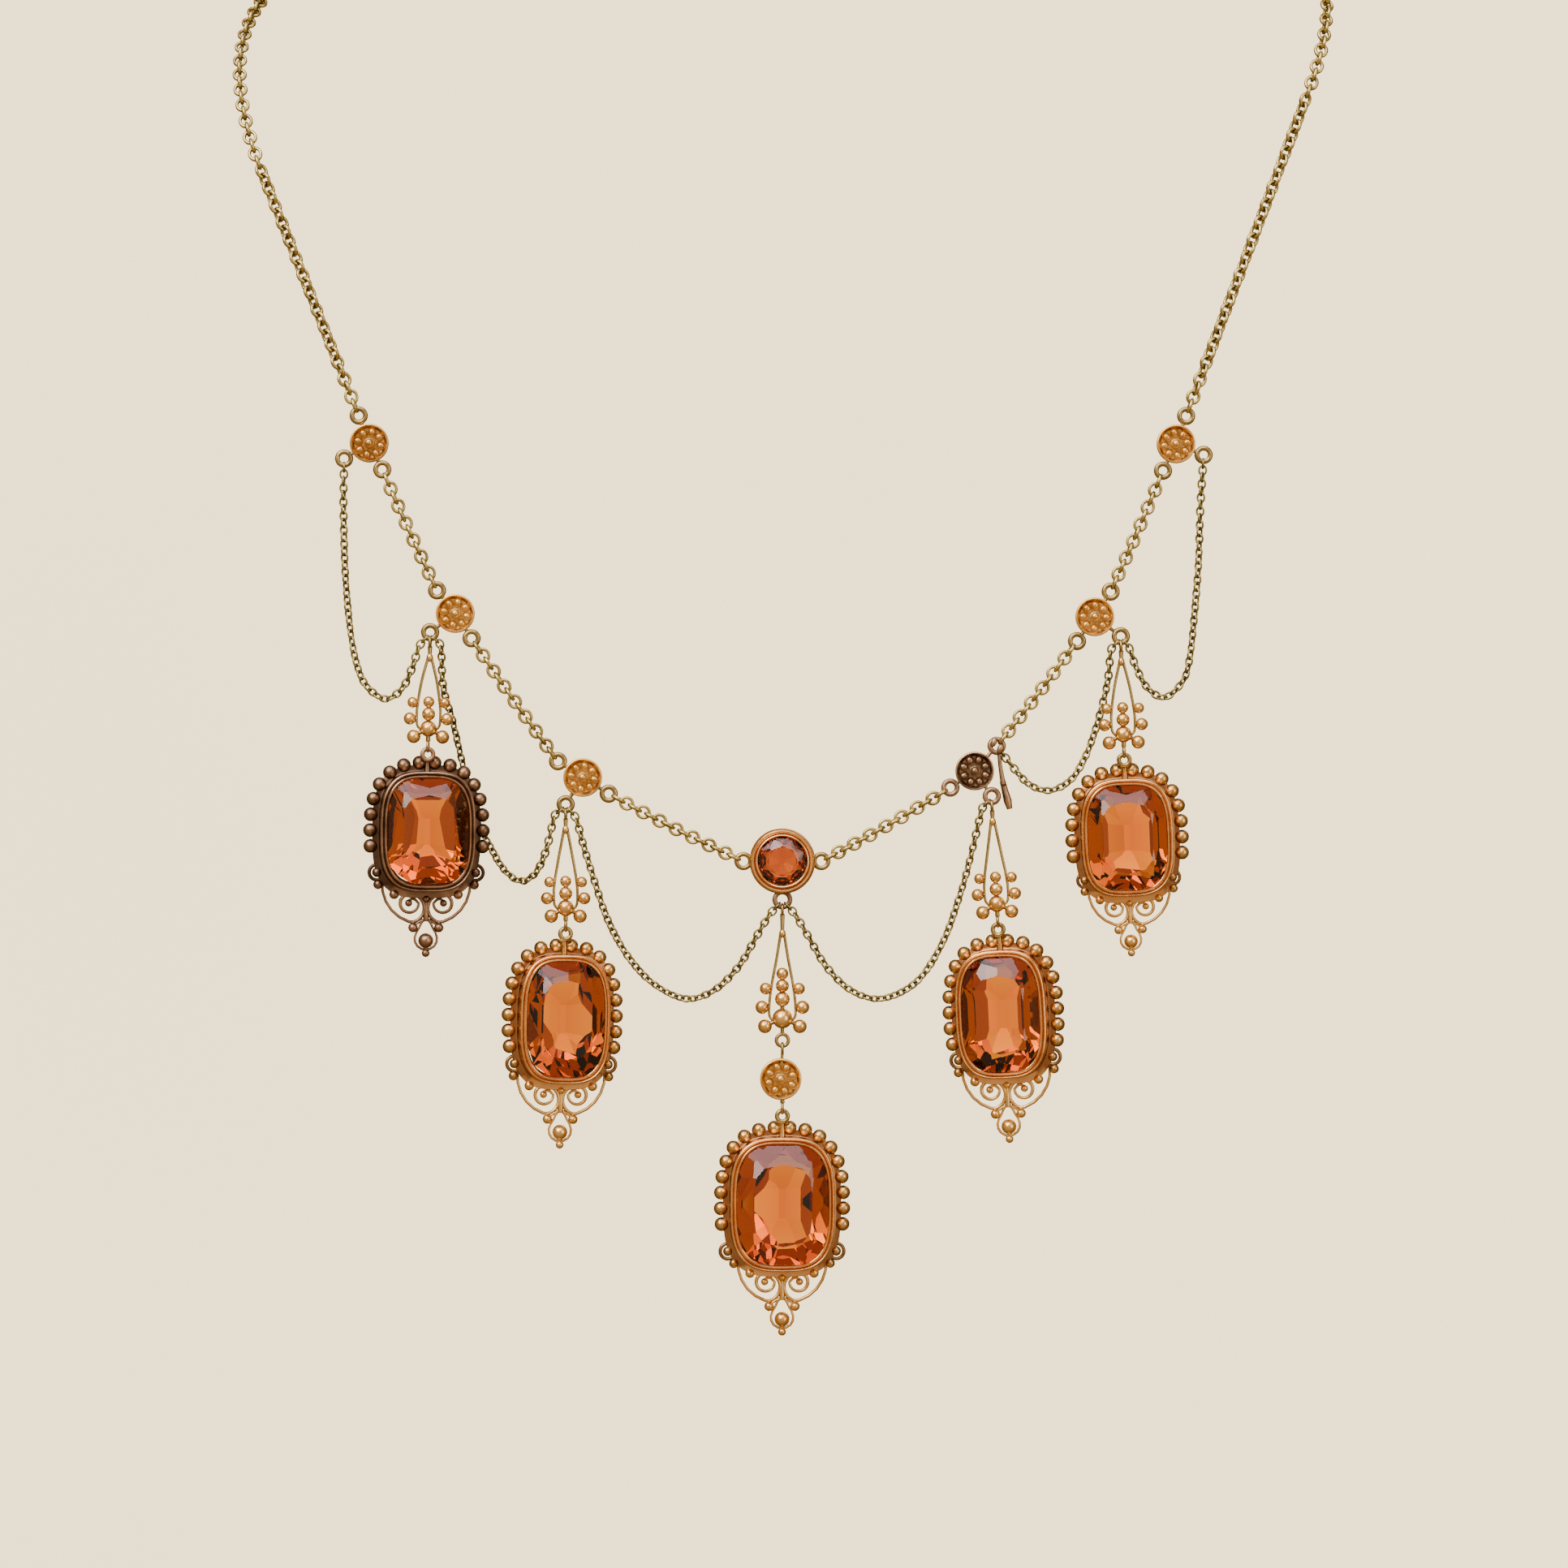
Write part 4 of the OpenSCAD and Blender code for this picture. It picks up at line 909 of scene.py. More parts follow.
@dataclass
class Rosette:
    """A dished flower of eight cupped petals round a bead, with rings soldered to its rim."""

    radius: float = 2.4
    petals: int = 8
    petal_at: float = 1.44
    bead: float = 1.1
    ring_outer: float = 2.3
    ring_wire: float = 0.64
    flower: Piece = field(init=False)
    ring: Piece = field(init=False)
    stud: Piece = field(init=False)

    def __post_init__(self) -> None:
        """Makes the flower, the ring and the bead that all are copied from."""
        self.stud = Bench.bead("stud")
        self.ring = Bench.ring("jump_ring", self.ring_outer, self.ring_wire, 28, 8)
        self.flower = self.made()

    def petal(self) -> Piece:
        """Makes one petal: a low boss with a cup pressed into it."""
        Bench.clear()
        bpy.ops.mesh.primitive_uv_sphere_add(segments=14, ring_count=10, radius=0.5,
                                             rotation=(math.pi / 2, 0, 0))
        piece = Bench.edit("petal")
        bpy.ops.mesh.bisect(plane_co=(0, 0.12, 0), plane_no=(0, 1, 0), use_fill=True, clear_outer=True)
        bpy.ops.mesh.select_all(action="SELECT")
        bpy.ops.transform.resize(value=(1.26, 0.62, 1.04), center_override=(0, 0, 0))
        Bench.pick(piece, lambda middle, normal: normal.y < -0.55)
        bpy.ops.mesh.inset(thickness=0.05, depth=0)
        bpy.ops.transform.translate(value=(0, 0.2, 0))
        bpy.ops.transform.resize(value=(0.82, 1, 0.82), center_override=(0, 0, 0))
        return Bench.finish(piece, 60)

    def made(self) -> Piece:
        """Makes the whole flower, its middle at the origin."""
        r = self.radius
        dish = Bench.turned("dish", (
            (0, 0.45), (r - 0.35, 0.4), (r - 0.08, 0.3), (r, 0.15), (r, -0.3), (r - 0.05, -0.42),
            (r - 0.16, -0.46), (r - 0.26, -0.38), (r - 0.36, -0.12), (r - 0.55, 0.06), (1.2, 0.14),
            (0.5, 0.1), (0, 0.08)), 48)
        petal = self.petal()
        parts = [dish]
        for k in range(self.petals):
            about = turn(360 * (k + 0.5) / self.petals, "Y")
            parts.append(Bench.placed(petal, about, shift(self.petal_at, -0.02, 0)))
        parts.append(Bench.placed(self.stud, shift(0, -0.5, 0), size(self.bead)))
        collar = Bench.ring("collar", 1.36, 0.3, 20, 6)
        parts.append(Bench.upright(collar, 0, -0.14, 0))
        bpy.data.objects.remove(petal)
        bpy.data.objects.remove(collar)
        flower = Bench.joined("flower", parts)

        def depth(p: Vector) -> float:
            """Returns the darkening at a point, patina and painted shade: more toward the back, half as much
            on the rim.
            """
            return 0.3 * max(0, 0.3 + p.y * 2.2) * (1 if math.hypot(p.x, p.z) < r - 0.2 else 0.5)

        darken(flower, depth)
        return flower

    def soldered(self, offset: Spot) -> list[Piece]:
        """Makes a ring and the wire that holds it to the rim.

        Args:
            offset: X and Z of the ring from the flower's middle.

        Returns:
            The ring and the wire.
        """
        out = Vector((offset[0], 0, offset[1]))
        toward = out.normalized()
        near = self.radius - 0.3
        far = out.length - self.ring_outer / 2 + self.ring_wire / 2
        steps = [toward * (near + (far - near) * k / 3) for k in range(4)]
        neck = Bench.drawn("neck", steps, (0.3, 0.24, 0.22, 0.26))
        return [Bench.placed(self.ring, Matrix.Translation(out), turn(90, "X")), neck]

    def build(self) -> None:
        """Makes the six rosettes of the chain."""
        for station in STATIONS:
            dark = station is RIGHT_INNER
            # Each flower is turned another way
            parts = [Bench.placed(self.flower, turn(17 * station.x, "Y"))]
            for offset in (station.above, station.onward, station.third):
                parts += self.soldered(offset)
            if dark:
                parts += self.tab()
            for part in parts:
                gild(part, Gold.BLACK if dark else Gold.FLOWER if part is parts[0] else Gold.RING)
            # The left outer flower is tarnished all over, and darker still toward the back as painted shade
            if station is LEFT_OUTER:
                darken(parts[0], lambda p: 0.3 + 0.5 * max(0, 0.3 + p.y * 2.2))
            piece = Bench.joined(station.node + "_flower", parts)
            piece.data.transform(Matrix.Translation(station.at()))
            deliver(piece, station.node, "necklace")

    def tab(self) -> list[Piece]:
        """Makes the dark strip that hangs behind the right inner drop, with its knot."""
        wire = [Vector((x, 0.1, z)) for x, z in ((2.95, 2.4), (3.15, 0.6), (3.5, -1.6))]
        top = Bench.drawn("tab_wire", wire, (0.22, 0.26, 0.34))
        way = [Vector((x, 0.75, z)) for x, z in ((3.45, -1.2), (3.75, -2.4), (4.1, -3.7), (4.35, -4.7))]
        strip = Bench.drawn("tab_strip", way, (0.36, 0.42, 0.52, 0.34))
        knot = Bench.placed(self.stud, shift(3.5, 0.4, -1.5), size(0.8, 1.1, 0.8))
        foot = [Bench.placed(self.stud, shift(2.35, -0.3, 3.55), turn(20, "Y"), size(0.75, 0.7, 1.25)),
                Bench.placed(self.stud, shift(3.15, -0.3, 2.75), turn(20, "Y"), size(0.8, 0.7, 1.3))]
        return [top, strip, knot, *foot]


# Stones


@dataclass
class CutStone:
    """A stone cut by facet planes: table, stars, mains and breaks over a girdle, two tiers below it.

    The table, crown, girdle and culet are heights on Y. So are steep and shallow, where the lower tiers'
    planes pass. Mains, breaks and scissors say where round the stone each facet lies.
    """

    a: float
    b: float
    shape: float
    table: float
    crown: float
    girdle: float
    steep: float
    shallow: float
    culet: float
    mains: tuple[float, ...]
    breaks: tuple[float, ...]
    crown_angle: float = 42.0
    star_angle: float = 26.0
    break_angle: float = 50.0
    steep_angle: float = 56.0
    shallow_angle: float = 31.0
    scissor_angle: float = 47.0
    scissors: tuple[Spot, ...] = ()

    def edge(self, degrees: float) -> tuple[Vector, Vector]:
        """Returns a point of the outline and the direction in which the outline faces there."""
        x, z = superellipse(self.a, self.b, self.shape, degrees)
        nx, nz = superellipse(1 / self.a, 1 / self.b, self.shape / (self.shape - 1), degrees)
        return Vector((x, 0, z)), Vector((nx, 0, nz)).normalized()

    def cut(self, point: Vector, normal: Vector) -> None:
        """Grinds away what lies beyond one facet plane."""
        bpy.ops.mesh.select_all(action="SELECT")
        bpy.ops.mesh.bisect(plane_co=point, plane_no=normal, use_fill=True, clear_outer=True)

    def ground(self, degrees: float, scale: float, y: float, angle: float) -> None:
        """Grinds one facet.

        Args:
            degrees: Where round the stone.
            scale: Share of the outline that the facet passes.
            y: Height at which it does.
            angle: Tilt from the table, negative below the girdle.
        """
        place, out = self.edge(degrees)
        tilt = math.radians(abs(angle))
        face = math.copysign(math.cos(tilt), -angle)
        self.cut(place * scale + Vector((0, y, 0)), out * math.sin(tilt) + Vector((0, face, 0)))

    def made(self, name: str) -> Piece:
        """Cuts the stone.

        Args:
            name: What the stone is called.

        Returns:
            The stone, its girdle's middle on the Y axis.
        """
        Bench.clear()
        bpy.ops.mesh.primitive_cylinder_add(vertices=64, radius=1, depth=12, rotation=(math.pi / 2, 0, 0))
        piece = Bench.edit(name)
        mesh = bmesh.from_edit_mesh(piece.data)
        for vertex in mesh.verts:
            where = math.degrees(math.atan2(vertex.co.z, vertex.co.x))
            vertex.co.x, vertex.co.z = superellipse(self.a, self.b, self.shape, where)
        bmesh.update_edit_mesh(piece.data)
        self.cut(Vector((0, self.table, 0)), Vector((0, -1, 0)))
        self.cut(Vector((0, self.culet, 0)), Vector((0, 1, 0)))
        for where in self.mains:
            self.ground(where, 1.0, self.crown, self.crown_angle)
            self.ground(where, 1.0, self.girdle, -self.steep_angle)
            self.ground(where, 0.62, self.shallow, -self.shallow_angle + 3)
        for where in self.breaks:
            self.ground(where, 1.0, self.crown, self.break_angle)
            self.ground(where, 0.68, self.table + 0.16, self.star_angle)
            self.ground(where, 1.0, self.girdle, -self.steep_angle - 5)
            self.ground(where, 0.7, self.steep, -self.shallow_angle - 3)
        tilt = math.radians(self.scissor_angle)
        for where, reach in self.scissors:
            out = Vector((math.cos(math.radians(where)), 0, math.sin(math.radians(where))))
            normal = out * math.sin(tilt) + Vector((0, math.cos(tilt), 0))
            self.cut(out * reach + Vector((0, -0.2, 0)), normal)
        Bench.finish(piece, 1)
        return piece


# Frames


@dataclass
class CushionFrame:
    """The setting of a cushion stone: ring, two-tier bezel, border of beads and scrollwork.

    The section of the bezel is given as how far out from the stone's edge, and Y. The wall is its height
    below the stone, the border how far out from it the beads sit.
    """

    shape: float = 3.1
    border_shape: float = 2.6
    points: int = 64
    bead: float = 1.76
    pitch: float = 1.95
    border: float = 1.77
    plate_y: float = 0.75
    wall: float = 0.65
    wire: float = 0.46
    curl_outer: float = 2.35
    curl_z: float = 2.35
    hoop_outer: float = 1.9
    hoop_wire: float = 0.56
    hoop_drop: float = 0.78
    section: tuple[Spot, ...] = (
        (-0.39, 1.4), (-0.39, -0.6), (0.0, -0.75), (0.0, -1.85), (-0.14, -2.06), (-0.13, -2.2),
        (-0.04, -2.29), (0.08, -2.29), (0.17, -2.2), (0.22, -1.98), (0.27, -1.93), (0.32, -1.99),
        (0.38, -2.14), (0.48, -2.2), (0.58, -2.16), (0.66, -2.0), (0.64, -1.7), (0.6, -0.9), (0.62, 0.1),
        (0.72, 0.42), (0.9, 0.5), (1.42, 0.5), (1.5, 0.58), (1.5, 0.92), (1.42, 1.0), (0.75, 1.02),
        (0.66, 1.1), (0.6, 1.38), (0.5, 1.42), (-0.3, 1.42))
    stud: Piece = field(init=False)
    hoop: Piece = field(init=False)
    curl: Piece = field(init=False)
    scroll: Piece = field(init=False)

    def __post_init__(self) -> None:
        """Makes the bead, the rings and the scroll that all are copied from."""
        self.stud = Bench.bead("granule")
        self.hoop = Bench.ring("frame_ring", self.hoop_outer, self.hoop_wire, 28, 8)
        self.curl = Bench.ring("corner_ring", self.curl_outer, self.wire, 24, 8)
        self.scroll = self.volute()

    def bezel(self, drop: Drop) -> Piece:
        """Makes the wall round a stone, with its groove, and the plate behind the border.

        Args:
            drop: Whose frame it is.

        Returns:
            The bezel, the stone's middle at the origin.
        """
        a, b = drop.half_w, drop.half_h
        first, y0 = self.section[0]
        Bench.clear()
        bpy.ops.mesh.primitive_circle_add(vertices=self.points, radius=1, fill_type="NOTHING",
                                          location=(0, y0, 0), rotation=(math.pi / 2, 0, 0))
        piece = Bench.edit("bezel")
        mesh = bmesh.from_edit_mesh(piece.data)
        for vertex in mesh.verts:
            where = math.degrees(math.atan2(vertex.co.z, vertex.co.x))
            vertex.co.x, vertex.co.z = superellipse(a + first, b + first, self.shape, where)
        bmesh.update_edit_mesh(piece.data)
        for (g0, y0), (g1, y1) in zip(self.section, [*self.section[1:], self.section[0]]):
            bpy.ops.mesh.extrude_region_move(TRANSFORM_OT_translate={"value": (0, y1 - y0, 0)})
            grow = ((a + g1) / (a + g0), 1, (b + g1) / (b + g0))
            bpy.ops.transform.resize(value=grow, center_override=(0, y1, 0))
        return gild(Bench.finish(piece, 42), Gold.DARK if drop.dark else Gold.ROSE)

    def rim(self, drop: Drop) -> list[Spot]:
        """Returns x and z of each bead on the right of the border, from the top down."""
        a, b = drop.half_w + self.border, drop.half_h + self.border
        way = [Vector((*superellipse(a, b, self.border_shape, 90 - 1.5 * k), 0)) for k in range(91)]
        return [(p.x, p.y) for p in along(way, [self.pitch * (k + 0.48) for k in range(drop.beads)])]

    def volute(self) -> Piece:
        """Draws the right-hand scroll: a long sweep up to the corner and a curl of two turns below it."""
        spots = []
        # Middle, radius, and where each arc starts and stops
        for x, z, r, start, stop in ((0.6, 0.9, 4.86, 5, -72), (2.0, -2.05, 1.78, 254, 92),
                                     (2.05, -1.46, 1.14, 74, -180), (1.66, -1.55, 0.62, 146, 20)):
            count = max(4, round(abs(stop - start) / 16))
            for k in range(count + 1):
                angle = math.radians(start + (stop - start) * k / count)
                spots.append(Vector((x + r * math.cos(angle), 0, z + r * math.sin(angle))))
        radii = [0.18 + 0.06 * math.sin(math.pi * min(1, 1.4 * k / len(spots))) for k in range(len(spots))]
        return Bench.drawn("scroll", spots, radii, 8)

    def scrollwork(self, drop: Drop) -> list[Piece]:
        """Makes what hangs below the bezel, measured from the middle of its lower edge.

        Args:
            drop: Whose frame it is.

        Returns:
            The parts, all at their place in the frame.
        """
        corner = drop.half_w + 0.9
        parts = []

        def stud(x: float, z: float, d: float, y: float = 0.0) -> None:
            """Adds a bead of diameter d."""
            parts.append(Bench.placed(self.stud, shift(x, y, z), size(d)))

        def rod(spots: Sequence[Spot], radii: Sequence[float]) -> None:
            """Adds a wire through spots given as x and z."""
            parts.append(Bench.drawn("rod", [Vector((x, 0, z)) for x, z in spots], radii))

        for side in (-1, 1):
            parts.append(Bench.placed(self.scroll, size(side, 1, 1)))
            for x, z, d in ((2.15, -1.42, 0.92), (1.85, -0.28, 0.5), (5.95, 0.85, 1.2), (3.95, -0.35, 1.22),
                            (corner, self.curl_z, 1.2), (1.6, -4.45, 1.2), (1.62, -3.84, 0.46)):
                stud(side * x, z, d)
            parts.append(Bench.upright(self.curl, side * corner, 0, self.curl_z))
            rod([(side * corner, self.curl_z), (side * (corner - 0.5), 2.2), (side * (corner - 1.0), 2.05)],
                (0.16, 0.15, 0.2))
            rod([(side * 1.6, -4.45), (side * 1.2, -4.0), (side * 0.85, -3.75), (side * 0.3, -3.5)],
                (0.14, 0.16, 0.17, 0.2))
            rod([(side * x, z) for x, z in (
                (0.3, -3.45), (0.62, -3.95), (0.85, -4.5), (1.2, -5.1), (1.38, -5.7), (1.32, -6.25),
                (1.02, -6.75), (0.5, -7.08), (0, -7.18))],
                (0.2, 0.17, 0.15, 0.15, 0.16, 0.17, 0.17, 0.17, 0.17))
            rod([(0, -0.9), (side * 0.45, -0.5), (side * 0.9, -0.05)], (0.2, 0.15, 0.16))
        rod([(0, -0.7), (0, -1.5), (0, -2.4), (0, -3.2), (0, -3.7)], (0.2, 0.22, 0.3, 0.36, 0.3))
        stud(0, -0.9, 0.92, -0.05)
        stud(0, -6.05, 1.88)
        rod([(0, -6.6), (0, -7.0), (0, -7.6)], (0.3, 0.26, 0.2))
        stud(0, -7.6, 1.0)
        return parts

    def build(self, drop: Drop) -> None:
        """Makes one whole frame.

        Args:
            drop: Whose frame it is.
        """
        gold = Gold.DARK if drop.dark else Gold.BEAD
        low = drop.half_h + self.wall
        parts = [self.bezel(drop)]
        for x, z in self.rim(drop):
            for side in (-1, 1):
                bead = Bench.placed(self.stud, shift(side * x, self.plate_y, z), size(self.bead))
                parts.append(gild(bead, gold))
        for part in self.scrollwork(drop):
            part.data.transform(shift(0, self.plate_y, -low) @ size(drop.scrolls))
            parts.append(gild(part, gold))
        way = [Vector((0, 0.4, z)) for z in (drop.drop - 1.4, drop.drop - 1.9, low)]
        parts.append(gild(Bench.drawn("stalk", way, (0.24, 0.3, 0.42)), gold))
        hoop = Bench.upright(self.hoop, 0, -FRAME_BACK, drop.drop - self.hoop_drop)
        parts.append(gild(hoop, gold if drop.dark else Gold.RING))
        piece = Bench.joined(f"frame_{drop.side}_setting", parts)

        def depth(p: Vector) -> float:
            """Returns the darkening at a point, patina and painted shade: much behind the wall and the
            border, little on the scrollwork.
            """
            return 0.9 * min(1, max(0, p.y + 0.4)) if p.z > -low + 0.6 else 0.25 * max(0, p.y)

        darken(piece, depth)
        piece.data.transform(drop.framed() @ shift(0, FRAME_BACK, -drop.drop))
        deliver(piece, f"frame_{drop.side}", f"pendant_{drop.side}")


# Sprays


@dataclass
class Spray:
    """Two wire blades from an edge-on loop, beads outside them and a column of beads between them.

    A blade is given as half width and height over the foot, a bead as x, height over the foot and diameter.
    The hook and the eye are the heights of a spray's upper loop and of its lower one, from their hinges.
    """

    wire: float = 0.36
    loop_outer: float = 1.6
    loop_wire: float = 0.38
    hook: float = -0.2
    eye: float = 0.22
    side_blade: tuple[Spot, ...] = ((0.88, 8.5), (1.3, 6.0), (1.46, 4.2), (1.36, 2.8), (0.75, 2.1))
    centre_blade: tuple[Spot, ...] = ((0.75, 10.6), (1.3, 7.7), (1.62, 5.1), (1.55, 3.7), (1.0, 3.1))
    side_pairs: tuple[Row, ...] = ((1.98, 5.6, 1.35), (2.3, 3.6, 1.55), (1.78, 1.4, 1.7))
    side_column: tuple[Row, ...] = ((0, 5.7, 1.4), (0, 4.2, 1.65), (0, 2.4, 2.05))
    centre_pairs: tuple[Row, ...] = ((2.05, 7.15, 1.5), (2.5, 4.85, 1.68), (2.15, 2.5, 1.75))
    centre_column: tuple[Row, ...] = ((0, 9.0, 1.5), (0, 7.5, 1.65), (0, 5.85, 1.85), (0, 3.45, 2.5))
    side_stem: float = -2.2
    centre_stem: float = -3.2
    golds: dict[str, Gold] = field(default_factory=lambda: {
        "blade": Gold.RING, "edge_loop": Gold.RING, "foot_ring": Gold.RING, "spray_wire": Gold.RING,
        "flower": Gold.FLOWER})
    stud: Piece = field(init=False)
    loop: Piece = field(init=False)

    def __post_init__(self) -> None:
        """Makes the bead and the loop that all are copied from."""
        self.stud = Bench.bead("spray_bead")
        self.loop = Bench.ring("edge_loop", self.loop_outer, self.loop_wire, 22, 8)

    def looped(self, z: float) -> Piece:
        """Returns a loop that stands edge on at a height."""
        return Bench.placed(self.loop, shift(0, 0, z), turn(90, "Y"))

    def rod(self, spots: Sequence[Spot], radii: Sequence[float]) -> Piece:
        """Returns a wire through places given as x and z."""
        return Bench.drawn("spray_wire", [Vector((x, 0, z)) for x, z in spots], radii)

    def blades(self, foot: float, stem: float, blade: Sequence[Spot], pairs: Sequence[Row],
               column: Sequence[Row]) -> list[Piece]:
        """Makes the blades and beads.

        Args:
            foot: Height of the next hinge.
            stem: Height at which the blades part.
            blade: Half width and height over the foot of the blades.
            pairs: Beads beside the blades: x, height over the foot, diameter.
            column: Beads between the blades, the same way.

        Returns:
            The parts.
        """
        w = self.wire / 2
        low = foot + column[-1][1]
        knot = size(self.wire * 2.3, self.wire * 2.3, 1.1)
        parts = [self.looped(self.hook),
                 self.rod([(0, self.hook - 0.55), (0, stem + 0.5), (0, stem)], (w * 1.7, w * 1.4, w * 1.7)),
                 Bench.placed(self.stud, shift(0, 0, stem + 0.05), knot)]
        for side in (-1, 1):
            knees = [Vector((side * w * 1.2, 0, stem)), *[Vector((side * x, 0, foot + z)) for x, z in blade]]
            way = smooth(knees, 4)
            radii = [w * (1.05 - 0.15 * k / len(way)) for k in range(len(way))]
            parts.append(Bench.drawn("blade", way, radii))
            for x, z, d in pairs:
                parts.append(Bench.placed(self.stud, shift(side * x, 0, foot + z), size(d)))
            for x, z, _ in pairs[:-1]:
                inner = min(blade, key=lambda p: abs(p[1] - z))[0]
                spots = [(side * reach, foot + z) for reach in (x, inner + 0.25, inner)]
                parts.append(self.rod(spots, (w, w * 0.9, w * 1.2)))
            x, z, _ = pairs[-1]
            parts.append(self.rod([(0, low), (side * x * 0.55, (low + foot + z) / 2), (side * x, foot + z)],
                                  (w * 1.8, w * 1.4, w * 1.4)))
        for x, z, d in column:
            parts.append(Bench.placed(self.stud, shift(x, 0, foot + z), size(d)))
        parts.append(self.rod([(0, foot + column[0][1]), (0, (foot + column[0][1] + low) / 2), (0, low)],
                              (w * 1.5, w * 1.5, w * 1.5)))
        return parts

    def footed(self, start: float, foot: float) -> list[Piece]:
        """Makes the wire and loop that the next hinge hangs on."""
        z = foot + self.eye
        rod = self.rod([(0, start), (0, (start + z) / 2 + 0.3), (0, z + 0.6)], (0.34, 0.28, 0.3))
        return [rod, self.looped(z)]

    def delivered(self, parts: Sequence[Piece], name: str, node: str, body: str, place: Matrix) -> None:
        """Joins a spray's parts and puts it in its place."""
        for part in parts:
            gild(part, self.golds.get(part.name.split(".")[0], Gold.BEAD))
        piece = Bench.joined(name, parts)
        piece.data.transform(place)
        deliver(piece, node, body)

    def build(self, rosette: Rosette) -> None:
        """Makes the five sprays and the rosette drop.

        Args:
            rosette: Where the flower of the drop comes from.
        """
        for drop in DROPS:
            parts = self.blades(drop.foot, self.side_stem, self.side_blade, self.side_pairs, self.side_column)
            parts += self.footed(drop.foot + 2.4, drop.foot)
            node = f"spray_{drop.side}"
            self.delivered(parts, node + "_wirework", node, node + "_body", drop.hung())
        foot = CENTRE_FOOT
        parts = self.blades(foot, self.centre_stem, self.centre_blade, self.centre_pairs, self.centre_column)
        parts.append(self.rod([(0, foot + 3.4), (0, foot + 2.2), (0, foot + 1.6)], (0.3, 0.24, 0.24)))
        ring = Bench.ring("foot_ring", 1.95, 0.46, 24, 8)
        parts.append(Bench.upright(ring, 0, 0, foot + 0.78))
        bpy.data.objects.remove(ring)
        self.delivered(parts, "spray_centre_wirework", "spray_centre", "spray_centre_body",
                       Matrix.Translation(CENTRE_HINGE))
        parts = [self.looped(self.hook),
                 self.rod([(0, self.hook - 0.6), (-0.05, -1.5), (-0.1, -2.0)], (0.2, 0.18, 0.24)),
                 Bench.placed(rosette.flower, shift(-0.2, 0, -4), turn(5, "Y"), size(1.07))]
        parts += self.footed(-6.0, CENTRE_DROP.foot)
        self.delivered(parts, "rosette_drop_flower", "rosette_drop", "rosette_drop_body",
                       Matrix.Translation(ROSETTE_HINGE))


# The round citrine and the clasp


@dataclass
class RoundSetting:
    """The turned bezel of the round citrine, its two rings and its staple."""

    outer: float = 4.05
    stone: float = 3.15
    ring_outer: float = 2.3
    ring_wire: float = 0.58
    staple_outer: float = 2.5
    staple_wire: float = 0.62
    staple_z: float = -4.75

    def build(self) -> None:
        """Makes the bezel."""
        r, s = self.outer, self.stone
        wall = Bench.turned("round_wall", (
            (s - 0.3, 1.3), (s - 0.3, 0.0), (s + 0.02, -0.45), (s + 0.02, -0.95), (s - 0.1, -1.16),
            (s - 0.08, -1.28), (s + 0.03, -1.35), (s + 0.12, -1.3), (s + 0.19, -1.08), (s + 0.25, -1.0),
            (s + 0.31, -1.06), (s + 0.4, -1.2), (s + 0.56, -1.22), (s + 0.72, -1.1), (r - 0.06, -0.8),
            (r, -0.5), (r, 0.9), (r - 0.06, 1.2), (r - 0.2, 1.3), (s - 0.3, 1.3)), 72)
        ring = Bench.ring("side_ring", self.ring_outer, self.ring_wire, 24, 8)
        staple = Bench.ring("staple", self.staple_outer, self.staple_wire, 24, 8)
        parts = [gild(wall, Gold.ROSE)]
        for side in (-1, 1):
            parts.append(gild(Bench.upright(ring, side * ROUND_RING_X, 0, 0), Gold.RING))
        parts.append(gild(Bench.upright(staple, 0, 0, self.staple_z), Gold.DARK))
        bpy.data.objects.remove(ring)
        bpy.data.objects.remove(staple)
        piece = Bench.joined("round_bezel_setting", parts)
        # Only the groove round the front is darkened: patina and painted shade
        darken(piece, lambda p: 0.8 if abs(math.hypot(p.x, p.z) - s - 0.25) < 0.03 and p.y < -0.9 else 0)
        piece.data.transform(Matrix.Translation(MIDDLE))
        deliver(piece, "round_bezel", "necklace")


@dataclass
class BarrelClasp:
    """The plain barrel at the nape, with a ring at each end."""

    length: float = 9.0
    radius: float = 1.5

    def build(self) -> None:
        """Makes the clasp."""
        h, r = self.length / 2, self.radius
        barrel = Bench.turned("barrel", (
            (0, h + 0.1), (0.3, h + 0.1), (0.32, h - 0.2), (0.55, h - 0.25), (r - 0.15, h - 1.0),
            (r, h - 1.15), (r, h - 1.5), (r - 0.1, h - 1.6), (r - 0.1, 0.5), (r, 0.4), (r + 0.15, 0.3),
            (r + 0.15, 0.05), (r, 0), (r + 0.15, -0.05), (r + 0.15, -0.3), (r, -0.4), (r - 0.1, -0.5),
            (r - 0.1, 1.6 - h), (r, 1.5 - h), (r, 1.15 - h), (r - 0.15, 1.0 - h), (0.55, 0.25 - h),
            (0.32, 0.2 - h), (0.3, -h - 0.1), (0, -h - 0.1)), 40)
        ring = Bench.ring("clasp_ring", 2.3, 0.34, 24, 8)
        parts = [Bench.placed(barrel, turn(90, "Z"))]
        for side in (-1, 1):
            parts.append(Bench.upright(ring, side * CLASP_RING_X, 0, 0))
        bpy.data.objects.remove(barrel)
        bpy.data.objects.remove(ring)
        for part in parts:
            gild(part, Gold.BEAD)
        deliver(Bench.joined("clasp_barrel", parts), "clasp", "necklace")


# The stones in their settings


